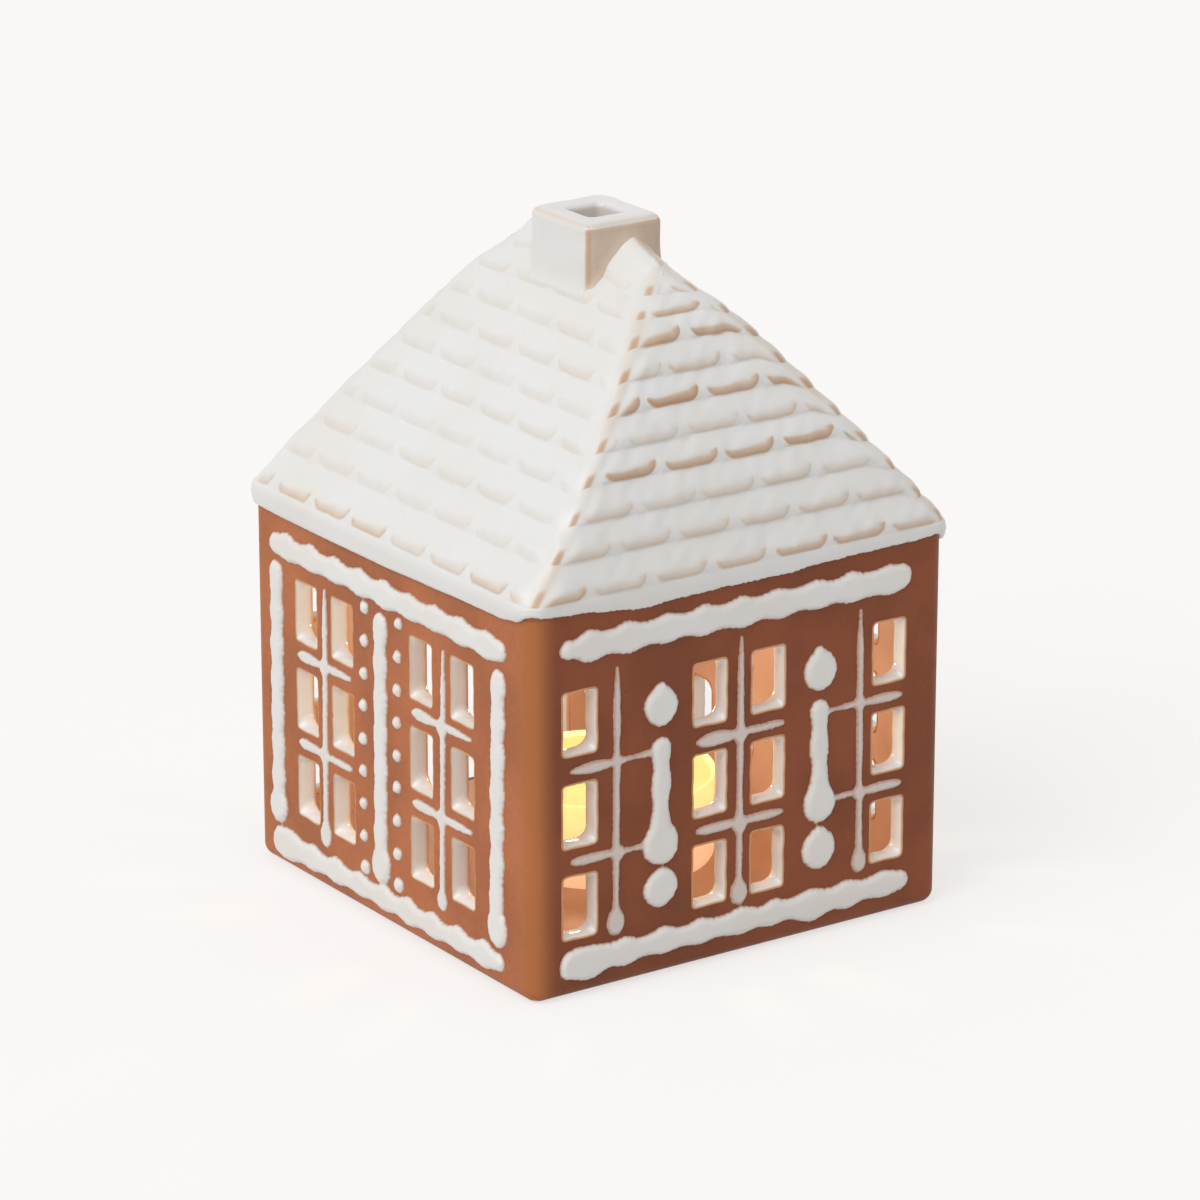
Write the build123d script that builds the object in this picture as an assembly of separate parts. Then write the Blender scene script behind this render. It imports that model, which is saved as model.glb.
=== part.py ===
from build123d import *
import os
from math import sqrt

os.makedirs("parts", exist_ok=True)

# Tealight house: a square stoneware house with a hip roof, a chimney that is a real flue,
# pierced windows and trailed white icing. A lit tealight stands on its floor and goes in
# and out through an arched doorway in the back wall.
# Frame: origin at the middle of the resting face, +Z up, front wall facing -Y.
# Every length is in millimetres.

# Driving sizes of the house
house_width = 82.0            # across the front, along X
house_depth = 84.4            # front to back, along Y
wall_top = 65.0               # where the walls end and the roof begins
wall_thickness = 3.4
corner_radius = 2.7           # upright outer corners
inner_corner_radius = 2.0
foot_radius = 2.4             # rounded edge round the foot
floor_thickness = 5.0
overrun = 1.0                 # how far every cutting body passes the face it cuts

# Driving sizes of the roof
eave_height = 66.8            # level of the widest line of the roof
side_overhang = 0.6           # how far that line stands out past the side walls
end_overhang = 0.1            # the same past the front and back walls
ridge_height = 115.1          # where the two long slopes would meet in a sharp edge
ridge_half_length = 16.9
ridge_half_width = 1.3        # half of the narrow flat along the ridge
front_bulge = 3.0             # how far the front slope swells out at mid height
back_bulge = 1.2
roof_thickness = 4.6          # measured level through a long slope
room_ridge_half = 0.5         # half of the narrow flat that the room under the roof ends in
course_start = 67.5           # level of the lowest row of tiles
course_rise = 5.4             # from the lowest row to the next
course_shrink = 0.17          # how much less each row above rises than the one below it
course_count = 9
tile_lip = 0.45               # how far a tile's lower edge stands out
tile_pitch = 11.7
tile_shift_share = 0.5        # of a tile, between one row and the next
joint_width = 1.4             # upright gap between two tiles
joint_depth = 0.35
hip_margin = 2.6              # no joint is cut closer to a hip than this

# Driving sizes of the chimney
chimney_width = 13.7
chimney_depth = 15.7
chimney_top = 117.0
chimney_x = -1.0
chimney_y = -1.8
flue_width = 7.6
flue_depth = 8.0

# Driving sizes of the glaze
glaze_thickness = 0.5         # coat on roof and chimney
skirt_drop = 1.2              # how far the roof's glaze runs down over the walls
liner_thickness = 0.4         # coat in the windows and the doorway

# Driving sizes of the windows
window_width = 6.9
window_height = 11.0
window_corner = 0.7
window_inner_corner = 2.4     # rounding that the thick glaze gives the inside of a window
window_rise = 15.6            # from one row of windows to the next
front_window_base = 15.5      # middle of the lowest row
side_window_base = 16.6

# Driving sizes of the doorway
door_half_width = 21.0
door_spring = 17.0            # level where the arch begins

# Driving sizes of the icing
thick_half = 2.2              # half the width of the broad piping
thick_height = 1.0
bead_extra = 0.35             # how much wider the beads along it are
bead_pitch = 7.4
blob_radius = 2.9             # the fat start of a bar
blob_height = 1.3
thin_half = 0.6               # half the width of the glazing bars
thin_height = 0.45
leaf_half = 1.0               # half the width of the leaves that crossbars end in
leaf_height = 0.6
leaf_length = 3.4
knot_radius = 1.9             # where two bars cross
knot_height = 0.8
drop_radius = 1.7             # where a bar ends
dot_radius = 3.4
dot_height = 1.3
post_half = 1.85
post_height = 1.1
post_drop_radius = 3.5
post_top = 39.2
post_bottom = 22.7
post_dot_levels = (15.3, 46.4)
upright_half = 1.8
upright_top = 53.2
upright_bottom = 10.6
upright_drop_radius = 2.5
small_dot_radius = 1.15
small_dot_height = 0.6
side_dot_base = 8.9
side_dot_rise = 5.65
side_dot_count = 9

# Driving sizes of the tealight
cup_radius = 19.2
cup_wall = 0.5
cup_height = 15.0
wax_drop = 0.8                # how far the wax lies below the rim
pool_depth = 0.6              # dished by the molten pool
pool_rim = 1.2                # unmelted ring round the pool
wick_radius = 0.7
wick_stand = 6.0              # how far the wick stands out of the wax
tab_radius = 8.0
tab_thickness = 0.3
tab_collar_radius = 1.6
tab_collar_height = 3.0
tealight_x = 0.7
tealight_y = -1.2

# Levels of the icing above the table, wall by wall
top_border_levels = {"front": 59.4, "right": 58.1, "back": 59.4, "left": 58.1}
bottom_border_levels = {"front": 5.8, "right": 4.9, "back": 5.8, "left": 4.9}
bar_tops = {"front": 54.2, "right": 53.6, "back": 54.2, "left": 53.6}
bar_bottoms = {"front": 11.1, "right": 10.3, "back": 11.1, "left": 10.3}
bar_levels = {
    "front": (23.2, 38.8),
    "right": (24.3, 40.1),
    "back": (23.2, 38.8),
    "left": (24.3, 40.1),
}

# Places across each wall, as shares of its width counted from its middle
border_left_share = -0.405
border_right_share = 0.385
front_post_shares = (-0.195, 0.188)
side_upright_shares = (-0.410, -0.026, 0.385)
side_dot_shares = (-0.090, 0.032)
window_column_shares = {
    "front": (-0.388, -0.078, 0.063, 0.362),
    "right": (-0.300, -0.167, 0.118, 0.263),
    "back": (-0.375, 0.375),
    "left": (-0.300, -0.167, 0.118, 0.263),
}

# Each upright glazing bar: its middle, both ends of its crossbars, and the ends with a leaf
bar_shares = {
    "front": (
        (-0.301, -0.400, -0.205, ("left",)),
        (-0.005, -0.100, 0.088, ("left", "right")),
        (0.290, 0.200, 0.385, ("right",)),
    ),
    "right": (
        (-0.237, -0.322, -0.147, ("left", "right")),
        (0.190, 0.092, 0.288, ("left", "right")),
    ),
    "back": (
        (-0.301, -0.400, -0.280, ("left",)),
        (0.301, 0.280, 0.400, ("right",)),
    ),
    "left": (
        (-0.237, -0.322, -0.147, ("left", "right")),
        (0.190, 0.092, 0.288, ("left", "right")),
    ),
}

# Sizes worked out from the ones above
half_width = house_width / 2
half_depth = house_depth / 2
inner_half_width = half_width - wall_thickness
inner_half_depth = half_depth - wall_thickness
eave_half_width = half_width + side_overhang
eave_half_depth = half_depth + end_overhang
roof_rise = ridge_height - eave_height


def write(name, shape):
    """Name the node, print what it holds and write its file."""
    shape.label = name
    print(name, len(shape.solids()), "solids", round(shape.volume, 1), "mm3")
    export_step(shape, "parts/" + name + ".step")


def group(shapes):
    """Keep several loose solids together as one node."""
    found = []
    for shape in shapes:
        found += list(shape.solids())
    return Compound(children=found)


# The walls: one ring with a rounded foot, divided at its four mitred corners
def wall_ring():
    outline = RectangleRounded(house_width, house_depth, corner_radius)
    block = extrude(outline, amount=wall_top)
    foot = block.faces().sort_by(Axis.Z)[0]
    block = fillet(foot.edges(), foot_radius)
    room = RectangleRounded(2 * inner_half_width, 2 * inner_half_depth, inner_corner_radius)
    return block - Pos(0, 0, -overrun) * extrude(room, amount=wall_top + 2 * overrun)


def corner_wedge(side):
    """Upright wedge from the middle of the house to two neighbouring outer corners."""
    far_x = 2 * half_width
    far_y = 2 * half_depth
    ends = {
        "front": ((-far_x, -far_y), (far_x, -far_y)),
        "right": ((far_x, -far_y), (far_x, far_y)),
        "back": ((far_x, far_y), (-far_x, far_y)),
        "left": ((-far_x, far_y), (-far_x, -far_y)),
    }
    first, second = ends[side]
    outline = make_face(Polyline((0, 0), first, second, close=True))
    return Pos(0, 0, -overrun) * extrude(outline, amount=wall_top + 2 * overrun)


# Each wall has a drawing plane: x runs to the right as seen from outside, y runs up and
# z points out of the wall
wall_planes = {
    "front": Plane(origin=(0, -half_depth, 0), x_dir=(1, 0, 0), z_dir=(0, -1, 0)),
    "right": Plane(origin=(half_width, 0, 0), x_dir=(0, 1, 0), z_dir=(1, 0, 0)),
    "back": Plane(origin=(0, half_depth, 0), x_dir=(-1, 0, 0), z_dir=(0, 1, 0)),
    "left": Plane(origin=(-half_width, 0, 0), x_dir=(0, -1, 0), z_dir=(-1, 0, 0)),
}
wall_spans = {
    "front": house_width,
    "right": house_depth,
    "back": house_width,
    "left": house_depth,
}

window_bases = {
    "front": front_window_base,
    "right": side_window_base,
    "back": front_window_base,
    "left": side_window_base,
}
window_rows = 3


def window_places(side):
    places = []
    for share in window_column_shares[side]:
        for row in range(window_rows):
            level = window_bases[side] + row * window_rise
            places.append((share * wall_spans[side], level))
    return places


def window_cutter(side):
    hole = RectangleRounded(window_width, window_height, window_corner)
    tool = Pos(0, 0, -wall_thickness - overrun) * extrude(
        hole, amount=wall_thickness + 2 * overrun)
    return [wall_planes[side] * Pos(x, y, 0) * tool for x, y in window_places(side)]


# The doorway: upright jambs under a half-round arch, level with the floor at its foot
def door_outline(inset):
    half = door_half_width - inset
    foot = floor_thickness - liner_thickness + inset
    jamb_left = Line((-half, door_spring), (-half, foot))
    sill = Line((-half, foot), (half, foot))
    jamb_right = Line((half, foot), (half, door_spring))
    arch = ThreePointArc((half, door_spring), (0, door_spring + half), (-half, door_spring))
    return make_face([jamb_left, sill, jamb_right, arch])


def door_cutter():
    tool = extrude(door_outline(0), amount=wall_thickness + 2 * overrun)
    return wall_planes["back"] * Pos(0, 0, -wall_thickness - overrun) * tool


def one_wall(side, ring):
    wall = ring & corner_wedge(side)
    wall = wall - window_cutter(side)
    if side == "back":
        wall = wall - door_cutter()
    return wall


ring = wall_ring()
walls = {side: one_wall(side, ring) for side in wall_planes}
for side, wall in walls.items():
    write(side + "_wall", wall)

# The floor: a slab that fills the foot of the ring
floor_outline = RectangleRounded(2 * inner_half_width, 2 * inner_half_depth, inner_corner_radius)
floor = extrude(floor_outline, amount=floor_thickness)
write("floor", floor)


# The glaze in each window: a collar that thickens towards the room, where its corners round
def window_liner():
    inset = 2 * liner_thickness
    outer = RectangleRounded(window_width, window_height, window_corner)
    collar = Pos(0, 0, -wall_thickness) * extrude(outer, amount=wall_thickness)
    mouth = RectangleRounded(
        window_width - inset, window_height - inset, window_corner - liner_thickness)
    throat = RectangleRounded(
        window_width - inset, window_height - inset, window_inner_corner)
    bore = loft([Pos(0, 0, -wall_thickness) * throat, mouth], ruled=True)
    return collar - bore


for side in wall_planes:
    liner = window_liner()
    places = [wall_planes[side] * Pos(x, y, 0) * liner for x, y in window_places(side)]
    write(side + "_window_glaze", group(places))

door_band = extrude(door_outline(0), amount=wall_thickness)
door_hole = Pos(0, 0, -overrun) * extrude(
    door_outline(liner_thickness), amount=wall_thickness + 2 * overrun)
door_glaze = wall_planes["back"] * Pos(0, 0, -wall_thickness) * (door_band - door_hole)
write("door_glaze", door_glaze)


# The roof: rows of tiles that each stand out at their lower edge, up four slopes
def slope_sizes(level):
    """Half width in X, and distance to the front and back slope, at one level."""
    rise_share = (level - eave_height) / roof_rise
    swell_share = 4 * rise_share * (1 - rise_share)
    side = eave_half_width * (1 - rise_share)
    gable = eave_half_depth - (eave_half_depth - ridge_half_length) * rise_share
    return side, gable + front_bulge * swell_share, gable + back_bulge * swell_share


def level_rectangle(level, grow):
    """Level outline of the roof, grown outward on all four sides."""
    side, front, back = slope_sizes(level)
    outline = Rectangle(2 * (side + grow), front + back + 2 * grow)
    return Pos(0, (back - front) / 2, level) * outline


ridge_level = ridge_height - roof_rise * ridge_half_width / eave_half_width
course_levels = [course_start]
for row in range(course_count):
    course_levels.append(course_levels[-1] + course_rise - row * course_shrink)
course_tops = course_levels[1:] + [ridge_level]


def eave_band(grow):
    """The flare from the wall's face out to the lowest row of tiles."""
    under = Rectangle(house_width + 2 * grow, house_depth + 2 * grow)
    low = loft([Pos(0, 0, wall_top) * under, level_rectangle(eave_height, grow)], ruled=True)
    widest = level_rectangle(eave_height, grow)
    high = loft([widest, level_rectangle(course_start, grow)], ruled=True)
    return low + high


def joint_places(run, shift_share):
    """Places of the joints across one slope, counted both ways from its middle."""
    reach = run - hip_margin
    count = int(reach / tile_pitch) + 1
    places = [(step + shift_share) * tile_pitch for step in range(-count - 1, count + 1)]
    return [across for across in places if abs(across) <= reach]


def tile_joints(grow):
    """Slots between neighbouring tiles, half a tile over from row to row."""
    slots = []
    width = joint_width - 2 * grow
    for row, (low, high) in enumerate(zip(course_levels, course_tops)):
        side, front, back = slope_sizes((low + high) / 2)
        for face, run in (("front", side), ("back", side), ("left", front), ("right", front)):
            shifted = (row % 2 == 0) == (face in ("front", "back"))
            shift_share = tile_shift_share if shifted else 0
            for across in joint_places(run, shift_share):
                slots.append(tile_slot(face, across, low, high, width, grow))
    return slots


def tile_slot(face, across, low, high, width, grow):
    """One slot, leaning with its slope, as deep as the joint below the tile's face."""
    side_low, front_low, back_low = slope_sizes(low)
    side_high, front_high, back_high = slope_sizes(high)
    lows = {"front": front_low, "back": back_low, "left": side_low, "right": side_low}
    highs = {"front": front_high, "back": back_high, "left": side_high, "right": side_high}
    outer_low = lows[face] + tile_lip + grow
    outer_high = highs[face] + grow
    outline = make_face(Polyline(
        (outer_low - joint_depth, low),
        (outer_low + overrun, low),
        (outer_high + overrun, high),
        (outer_high - joint_depth, high),
        close=True))
    slot = extrude(Plane.XZ * outline, amount=width / 2, both=True)
    turns = {"right": 0, "back": 90, "left": 180, "front": 270}
    along_x = across if face in ("front", "back") else 0
    along_y = across if face in ("left", "right") else 0
    return Pos(along_x, along_y, 0) * Rot(0, 0, turns[face]) * slot


def stepped_roof(grow):
    """The roof's outer form with its rows of tiles, grown outward by a coat's thickness."""
    body = eave_band(grow)
    for low, high in zip(course_levels, course_tops):
        top = level_rectangle(high, grow)
        body += loft([level_rectangle(low, grow + tile_lip), top], ruled=True)
    if grow > 0:
        crest = Pos(0, 0, grow) * level_rectangle(ridge_level, 0)
        body += loft([level_rectangle(ridge_level, grow), crest], ruled=True)
    return body


def roof_room():
    """The hollow under the roof, which narrows to a ridge of its own."""
    lean_share = eave_half_width / roof_rise
    inner_top = ridge_height - roof_thickness / lean_share
    rise_share = (inner_top - wall_top) / roof_rise
    gable = inner_half_depth - (eave_half_depth - ridge_half_length) * rise_share
    foot = Pos(0, 0, wall_top) * Rectangle(2 * inner_half_width, 2 * inner_half_depth)
    peak = Pos(0, 0, inner_top) * Rectangle(2 * room_ridge_half, 2 * gable)
    below = Pos(0, 0, wall_top - overrun) * extrude(
        Rectangle(2 * inner_half_width, 2 * inner_half_depth), amount=overrun)
    return loft([foot, peak], ruled=True) + below


chimney_outline = Rectangle(chimney_width, chimney_depth)
flue_outline = Rectangle(flue_width, flue_depth)
chimney_foot = wall_top + roof_rise / 2
chimney_block = Pos(chimney_x, chimney_y, chimney_foot) * extrude(
    chimney_outline, amount=chimney_top - chimney_foot)
flue = Pos(chimney_x, chimney_y, chimney_foot - overrun) * extrude(
    flue_outline, amount=chimney_top - chimney_foot + 3 * overrun)

clay_roof = stepped_roof(0) - tile_joints(0)
room = roof_room()
roof_shell = clay_roof - room - chimney_block
write("roof", roof_shell)

# The chimney is let into the roof and hollow all the way down
chimney = chimney_block - room - flue
write("chimney", chimney)

# The white coat over the tiles, with a skirt that runs down over the top of the walls
glazed_form = stepped_roof(glaze_thickness)
glazed_roof = glazed_form - tile_joints(glaze_thickness)
skirt_outline = RectangleRounded(
    house_width + 2 * glaze_thickness,
    house_depth + 2 * glaze_thickness,
    corner_radius + glaze_thickness)
skirt = Pos(0, 0, wall_top - skirt_drop) * extrude(skirt_outline, amount=skirt_drop)
wall_block = Pos(0, 0, wall_top - skirt_drop - overrun) * extrude(
    RectangleRounded(house_width, house_depth, corner_radius), amount=skirt_drop + overrun)
under_roof = Pos(0, 0, wall_top) * extrude(
    Rectangle(house_width, house_depth), amount=course_start - wall_top)
roof_glaze = glazed_roof - clay_roof - under_roof - chimney_block + (skirt - wall_block)
write("roof_glaze", roof_glaze)

chimney_coat = Pos(chimney_x, chimney_y, chimney_foot) * extrude(
    Rectangle(chimney_width + 2 * glaze_thickness, chimney_depth + 2 * glaze_thickness),
    amount=chimney_top + glaze_thickness - chimney_foot)
chimney_glaze = chimney_coat - chimney_block - flue - glazed_form
write("chimney_glaze", chimney_glaze)


# The icing: every stroke is a low round ridge that lies flat on the wall
def dome(radius, height):
    """Round cap of one base radius and height, flat side down at the origin."""
    ball = (radius ** 2 + height ** 2) / (2 * height)
    cap = Pos(0, 0, height - ball) * Sphere(ball)
    return cap & (Pos(0, 0, ball) * Box(4 * ball, 4 * ball, 2 * ball))


def stroke(start, end, half, height):
    """Straight ridge between two points with a round cap at each end."""
    ball = (half ** 2 + height ** 2) / (2 * height)
    run_x = end[0] - start[0]
    run_y = end[1] - start[1]
    length = sqrt(run_x ** 2 + run_y ** 2)
    disc = Pos(0, height - ball) * Circle(ball)
    section = disc & (Pos(0, ball) * Rectangle(4 * ball, 2 * ball))
    frame = Plane(
        origin=(start[0], start[1], 0),
        x_dir=(-run_y / length, run_x / length, 0),
        z_dir=(run_x / length, run_y / length, 0))
    ridge = extrude(frame * section, amount=length)
    cap = dome(half, height)
    ridge += Pos(start[0], start[1], 0) * cap
    ridge += Pos(end[0], end[1], 0) * cap
    return ridge


def beaded_stroke(start, end, half, height):
    """A stroke with a row of wider beads along it, as a piping bag leaves them."""
    run_x = end[0] - start[0]
    run_y = end[1] - start[1]
    length = sqrt(run_x ** 2 + run_y ** 2)
    beads = max(1, round(length / bead_pitch))
    body = stroke(start, end, half, height)
    bead = dome(half + bead_extra, height + bead_extra / 2)
    for index in range(beads + 1):
        along_share = index / beads
        x = start[0] + run_x * along_share
        y = start[1] + run_y * along_share
        body += Pos(x, y, 0) * bead
    return body


def glazing_bars(middle, bottom, top, levels, left, right, left_leaf=True, right_leaf=True):
    """An upright bar with a drop at its foot and crossbars that end in small leaves."""
    body = stroke((middle, bottom), (middle, top), thin_half, thin_height)
    body += Pos(middle, bottom, 0) * dome(drop_radius, knot_height)
    for level in levels:
        body += stroke((left, level), (right, level), thin_half, thin_height)
        body += Pos(middle, level, 0) * dome(knot_radius, knot_height)
        if left_leaf:
            leaf_end = (left + leaf_length, level)
            body += stroke((left, level), leaf_end, leaf_half, leaf_height)
        if right_leaf:
            leaf_end = (right - leaf_length, level)
            body += stroke(leaf_end, (right, level), leaf_half, leaf_height)
    return body


def on_wall(side, shape):
    """Carry something drawn flat onto the face of one wall."""
    return wall_planes[side] * shape


# Borders: a broad beaded bar above and below the windows of every wall
for side in wall_planes:
    left_end = border_left_share * wall_spans[side]
    right_end = border_right_share * wall_spans[side]
    high = top_border_levels[side]
    low = bottom_border_levels[side]
    top_bar = beaded_stroke((left_end, high), (right_end, high), thick_half, thick_height)
    write(side + "_top_border", on_wall(side, top_bar))
    if side == "back":
        door_side = door_half_width + thick_half + 2 * bead_extra
        left_bar = beaded_stroke((left_end, low), (-door_side, low), thick_half, thick_height)
        right_bar = beaded_stroke((door_side, low), (right_end, low), thick_half, thick_height)
        bottom_bar = group([on_wall(side, left_bar), on_wall(side, right_bar)])
        write(side + "_bottom_border", bottom_bar)
    else:
        bottom_bar = beaded_stroke((left_end, low), (right_end, low), thick_half, thick_height)
        bottom_bar += Pos(left_end + thick_half, low, 0) * dome(blob_radius, blob_height)
        write(side + "_bottom_border", on_wall(side, bottom_bar))

# Posts on the front: a dot, an upright stroke that ends in a big drop, and another dot
front_posts = []
for share in front_post_shares:
    x = share * house_width
    post = stroke((x, post_bottom), (x, post_top), post_half, post_height)
    post += Pos(x, post_bottom, 0) * dome(post_drop_radius, dot_height)
    front_posts.append(post)
    for level in post_dot_levels:
        front_posts.append(Pos(x, level, 0) * dome(dot_radius, dot_height))
write("front_posts", group([on_wall("front", post) for post in front_posts]))

# Uprights and dots on the two side walls
for side in ("left", "right"):
    uprights = []
    for share in side_upright_shares:
        x = share * house_depth
        upright = stroke((x, upright_bottom), (x, upright_top), upright_half, thick_height)
        upright += Pos(x, upright_bottom, 0) * dome(upright_drop_radius, blob_height)
        uprights.append(on_wall(side, upright))
    write(side + "_uprights", group(uprights))
    dots = []
    for share in side_dot_shares:
        for row in range(side_dot_count):
            level = side_dot_base + row * side_dot_rise
            dot = dome(small_dot_radius, small_dot_height)
            dots.append(on_wall(side, Pos(share * house_depth, level, 0) * dot))
    write(side + "_dots", group(dots))

# Glazing bars between the windows, one upright to each pair or group
for side, bars in bar_shares.items():
    span = wall_spans[side]
    bodies = []
    for middle_share, left_share, right_share, leaves in bars:
        body = glazing_bars(
            middle_share * span,
            bar_bottoms[side],
            bar_tops[side],
            bar_levels[side],
            left_share * span,
            right_share * span,
            left_leaf="left" in leaves,
            right_leaf="right" in leaves)
        if side == "front":
            body = body - front_posts
        bodies.append(on_wall(side, body))
    write(side + "_glazing_bars", group(bodies))

# The tealight: a thin clear cup of wax with a wick that a small metal foot holds upright
tealight_place = Pos(tealight_x, tealight_y, floor_thickness)

cup = Pos(0, 0, cup_height / 2) * Cylinder(cup_radius, cup_height)
cup = fillet(cup.edges().sort_by(Axis.Z)[0], cup_wall / 2)
cup_room = Pos(0, 0, cup_wall + cup_height / 2) * Cylinder(cup_radius - cup_wall, cup_height)
write("tealight_cup", tealight_place * (cup - cup_room))

tab = Pos(0, 0, cup_wall + tab_thickness / 2) * Cylinder(tab_radius, tab_thickness)
collar = Cylinder(tab_collar_radius, tab_collar_height)
collar = Pos(0, 0, cup_wall + tab_collar_height / 2) * collar
wick_length = cup_height - cup_wall - wax_drop + wick_stand
wick = Pos(0, 0, cup_wall + wick_length / 2) * Cylinder(wick_radius, wick_length)
write("wick_foot", tealight_place * ((tab + collar) - wick))
write("wick", tealight_place * wick)

wax_height = cup_height - cup_wall - wax_drop
wax = Pos(0, 0, cup_wall + wax_height / 2) * Cylinder(cup_radius - cup_wall, wax_height)
pool_radius = cup_radius - cup_wall - pool_rim
pool_ball = (pool_radius ** 2 + pool_depth ** 2) / (2 * pool_depth)
pool = Pos(0, 0, cup_wall + wax_height - pool_depth + pool_ball) * Sphere(pool_ball)
write("wax", tealight_place * (wax - pool - tab - collar - wick))
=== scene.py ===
# %% [markdown]
# A tealight house in glazed stoneware. The real one is cast in brown clay, dipped in white glaze at
# the roof, and piped with white slip like a gingerbread house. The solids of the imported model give
# every place and size, so this script loads them first and only dresses them.

# %% Load the fixed frame
import math

import bmesh
import bpy
import numpy as np
from mathutils import Matrix, Vector


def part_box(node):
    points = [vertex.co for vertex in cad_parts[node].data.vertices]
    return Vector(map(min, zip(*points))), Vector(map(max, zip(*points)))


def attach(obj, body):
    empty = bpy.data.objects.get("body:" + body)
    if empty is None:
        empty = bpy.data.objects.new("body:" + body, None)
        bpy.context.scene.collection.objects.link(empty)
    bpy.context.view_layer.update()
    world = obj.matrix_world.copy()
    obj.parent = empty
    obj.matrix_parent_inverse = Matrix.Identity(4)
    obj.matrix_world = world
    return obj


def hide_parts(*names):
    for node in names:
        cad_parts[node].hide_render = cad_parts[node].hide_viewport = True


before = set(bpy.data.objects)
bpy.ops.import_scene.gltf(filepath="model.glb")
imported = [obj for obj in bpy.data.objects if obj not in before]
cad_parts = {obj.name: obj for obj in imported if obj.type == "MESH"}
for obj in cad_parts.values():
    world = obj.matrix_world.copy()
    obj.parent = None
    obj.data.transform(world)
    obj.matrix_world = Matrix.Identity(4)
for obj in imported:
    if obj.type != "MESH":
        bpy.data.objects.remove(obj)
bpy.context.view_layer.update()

# %% [markdown]
# The surfaces are worked out in millimetres, as a potter would measure them, and turned into metres
# when a mesh is made. The walls' own boxes say where each face of the house stands.

# %% Measure the house
MM = 0.001


def box_mm(node):
    """Lowest and highest corner of a solid, in millimetres, as two arrays."""
    low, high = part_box(node)
    return np.array(low) / MM, np.array(high) / MM


front_face = box_mm("front_wall")[0][1]
back_face = box_mm("back_wall")[1][1]
left_face = box_mm("left_wall")[0][0]
right_face = box_mm("right_wall")[1][0]
wall_top = box_mm("front_wall")[1][2]
floor_top = box_mm("floor")[1][2]
print("faces of the walls", left_face, right_face, front_face, back_face, "top", wall_top)

# %% [markdown]
# The photograph was taken with a long lens from the left of the front, a little above. The angles
# and the distance were solved from the corners of the house, so the camera is set by its three
# axes: the one it looks back along, the one to its right, and the one up.

# %% Camera
LOOK_ROUND = math.radians(-34.4746)
LOOK_DOWN = math.radians(18.4955)
LENS, SENSOR = 168.204, 36
HOUSE_WIDTH = 0.082
STAND_BACK, STAND_RIGHT, STAND_UP = 11.6204, 0.0105, 0.5733    # in widths of the house

back = Vector((math.sin(LOOK_ROUND) * math.cos(LOOK_DOWN),
               -math.cos(LOOK_ROUND) * math.cos(LOOK_DOWN),
               math.sin(LOOK_DOWN)))
right = Vector((math.cos(LOOK_ROUND), math.sin(LOOK_ROUND), 0))
up = back.cross(right)
camera_data = bpy.data.cameras.new("photo_camera")
camera_data.lens = LENS
camera_data.sensor_width = SENSOR
camera = bpy.data.objects.new("photo_camera", camera_data)
bpy.context.scene.collection.objects.link(camera)
axes = Matrix((right, up, back)).transposed().to_4x4()
axes.translation = (back * STAND_BACK + right * STAND_RIGHT + up * STAND_UP) * HOUSE_WIDTH
camera.matrix_world = axes
bpy.context.scene.camera = camera
bpy.context.scene.view_settings.view_transform = "Standard"
print("camera stands at", [round(value, 3) for value in axes.translation])

# %% [markdown]
# A shader is easier to read when each node is one call. These helpers make a node, set its options,
# and fill its sockets: with a number, with a colour of three numbers, or by a link from another
# node's output.

# %% Helpers for shader nodes


def fill(tree, node, sockets):
    """Sets each socket by its name or number: links an output, or writes a value."""
    for socket, value in sockets.items():
        entry = node.inputs[socket]
        if isinstance(value, bpy.types.NodeSocket):
            tree.links.new(value, entry)
        elif entry.type == "RGBA":
            entry.default_value = (*value, 1)
        else:
            entry.default_value = value


def add_node(tree, kind, sockets=None, **options):
    """One shader node with its options set and its sockets filled."""
    made = tree.nodes.new("ShaderNode" + kind)
    for option, value in options.items():
        setattr(made, option, value)
    fill(tree, made, sockets or {})
    return made


def mix_colours(tree, share, first, second):
    """Colour that goes from first to second as share goes from 0 to 1."""
    return add_node(tree, "Mix", {0: share, 6: first, 7: second}, data_type="RGBA").outputs[2]


def to_range(tree, value, low, high, new_low=0.0, new_high=1.0, smooth=True):
    """Value brought from one range to another, with soft ends unless smooth is off."""
    return add_node(tree, "MapRange", {
        "Value": value, "From Min": low, "From Max": high, "To Min": new_low, "To Max": new_high},
        interpolation_type="SMOOTHSTEP" if smooth else "LINEAR").outputs["Result"]


def sums(tree, operation, first, second=0.0):
    """Arithmetic on one or two values."""
    return add_node(tree, "Math", {0: first, 1: second}, operation=operation).outputs[0]


def new_material(name):
    """Material with its node tree and its main shader."""
    material = bpy.data.materials.new(name)
    material.use_nodes = True
    return material, material.node_tree, material.node_tree.nodes["Principled BSDF"]


print("shader helpers ready")

# %% [markdown]
# Clay and glaze share one cause of unevenness: the body's grain, and slow drifts of colour from the
# kiln. Both are built once as a node group that gives masks only, so that every finish can use them
# at its own strength. Noise and cells are counted per metre, so 900 gives a grain of a millimetre.

# %% Kiln marks, a node group of masks


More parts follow.
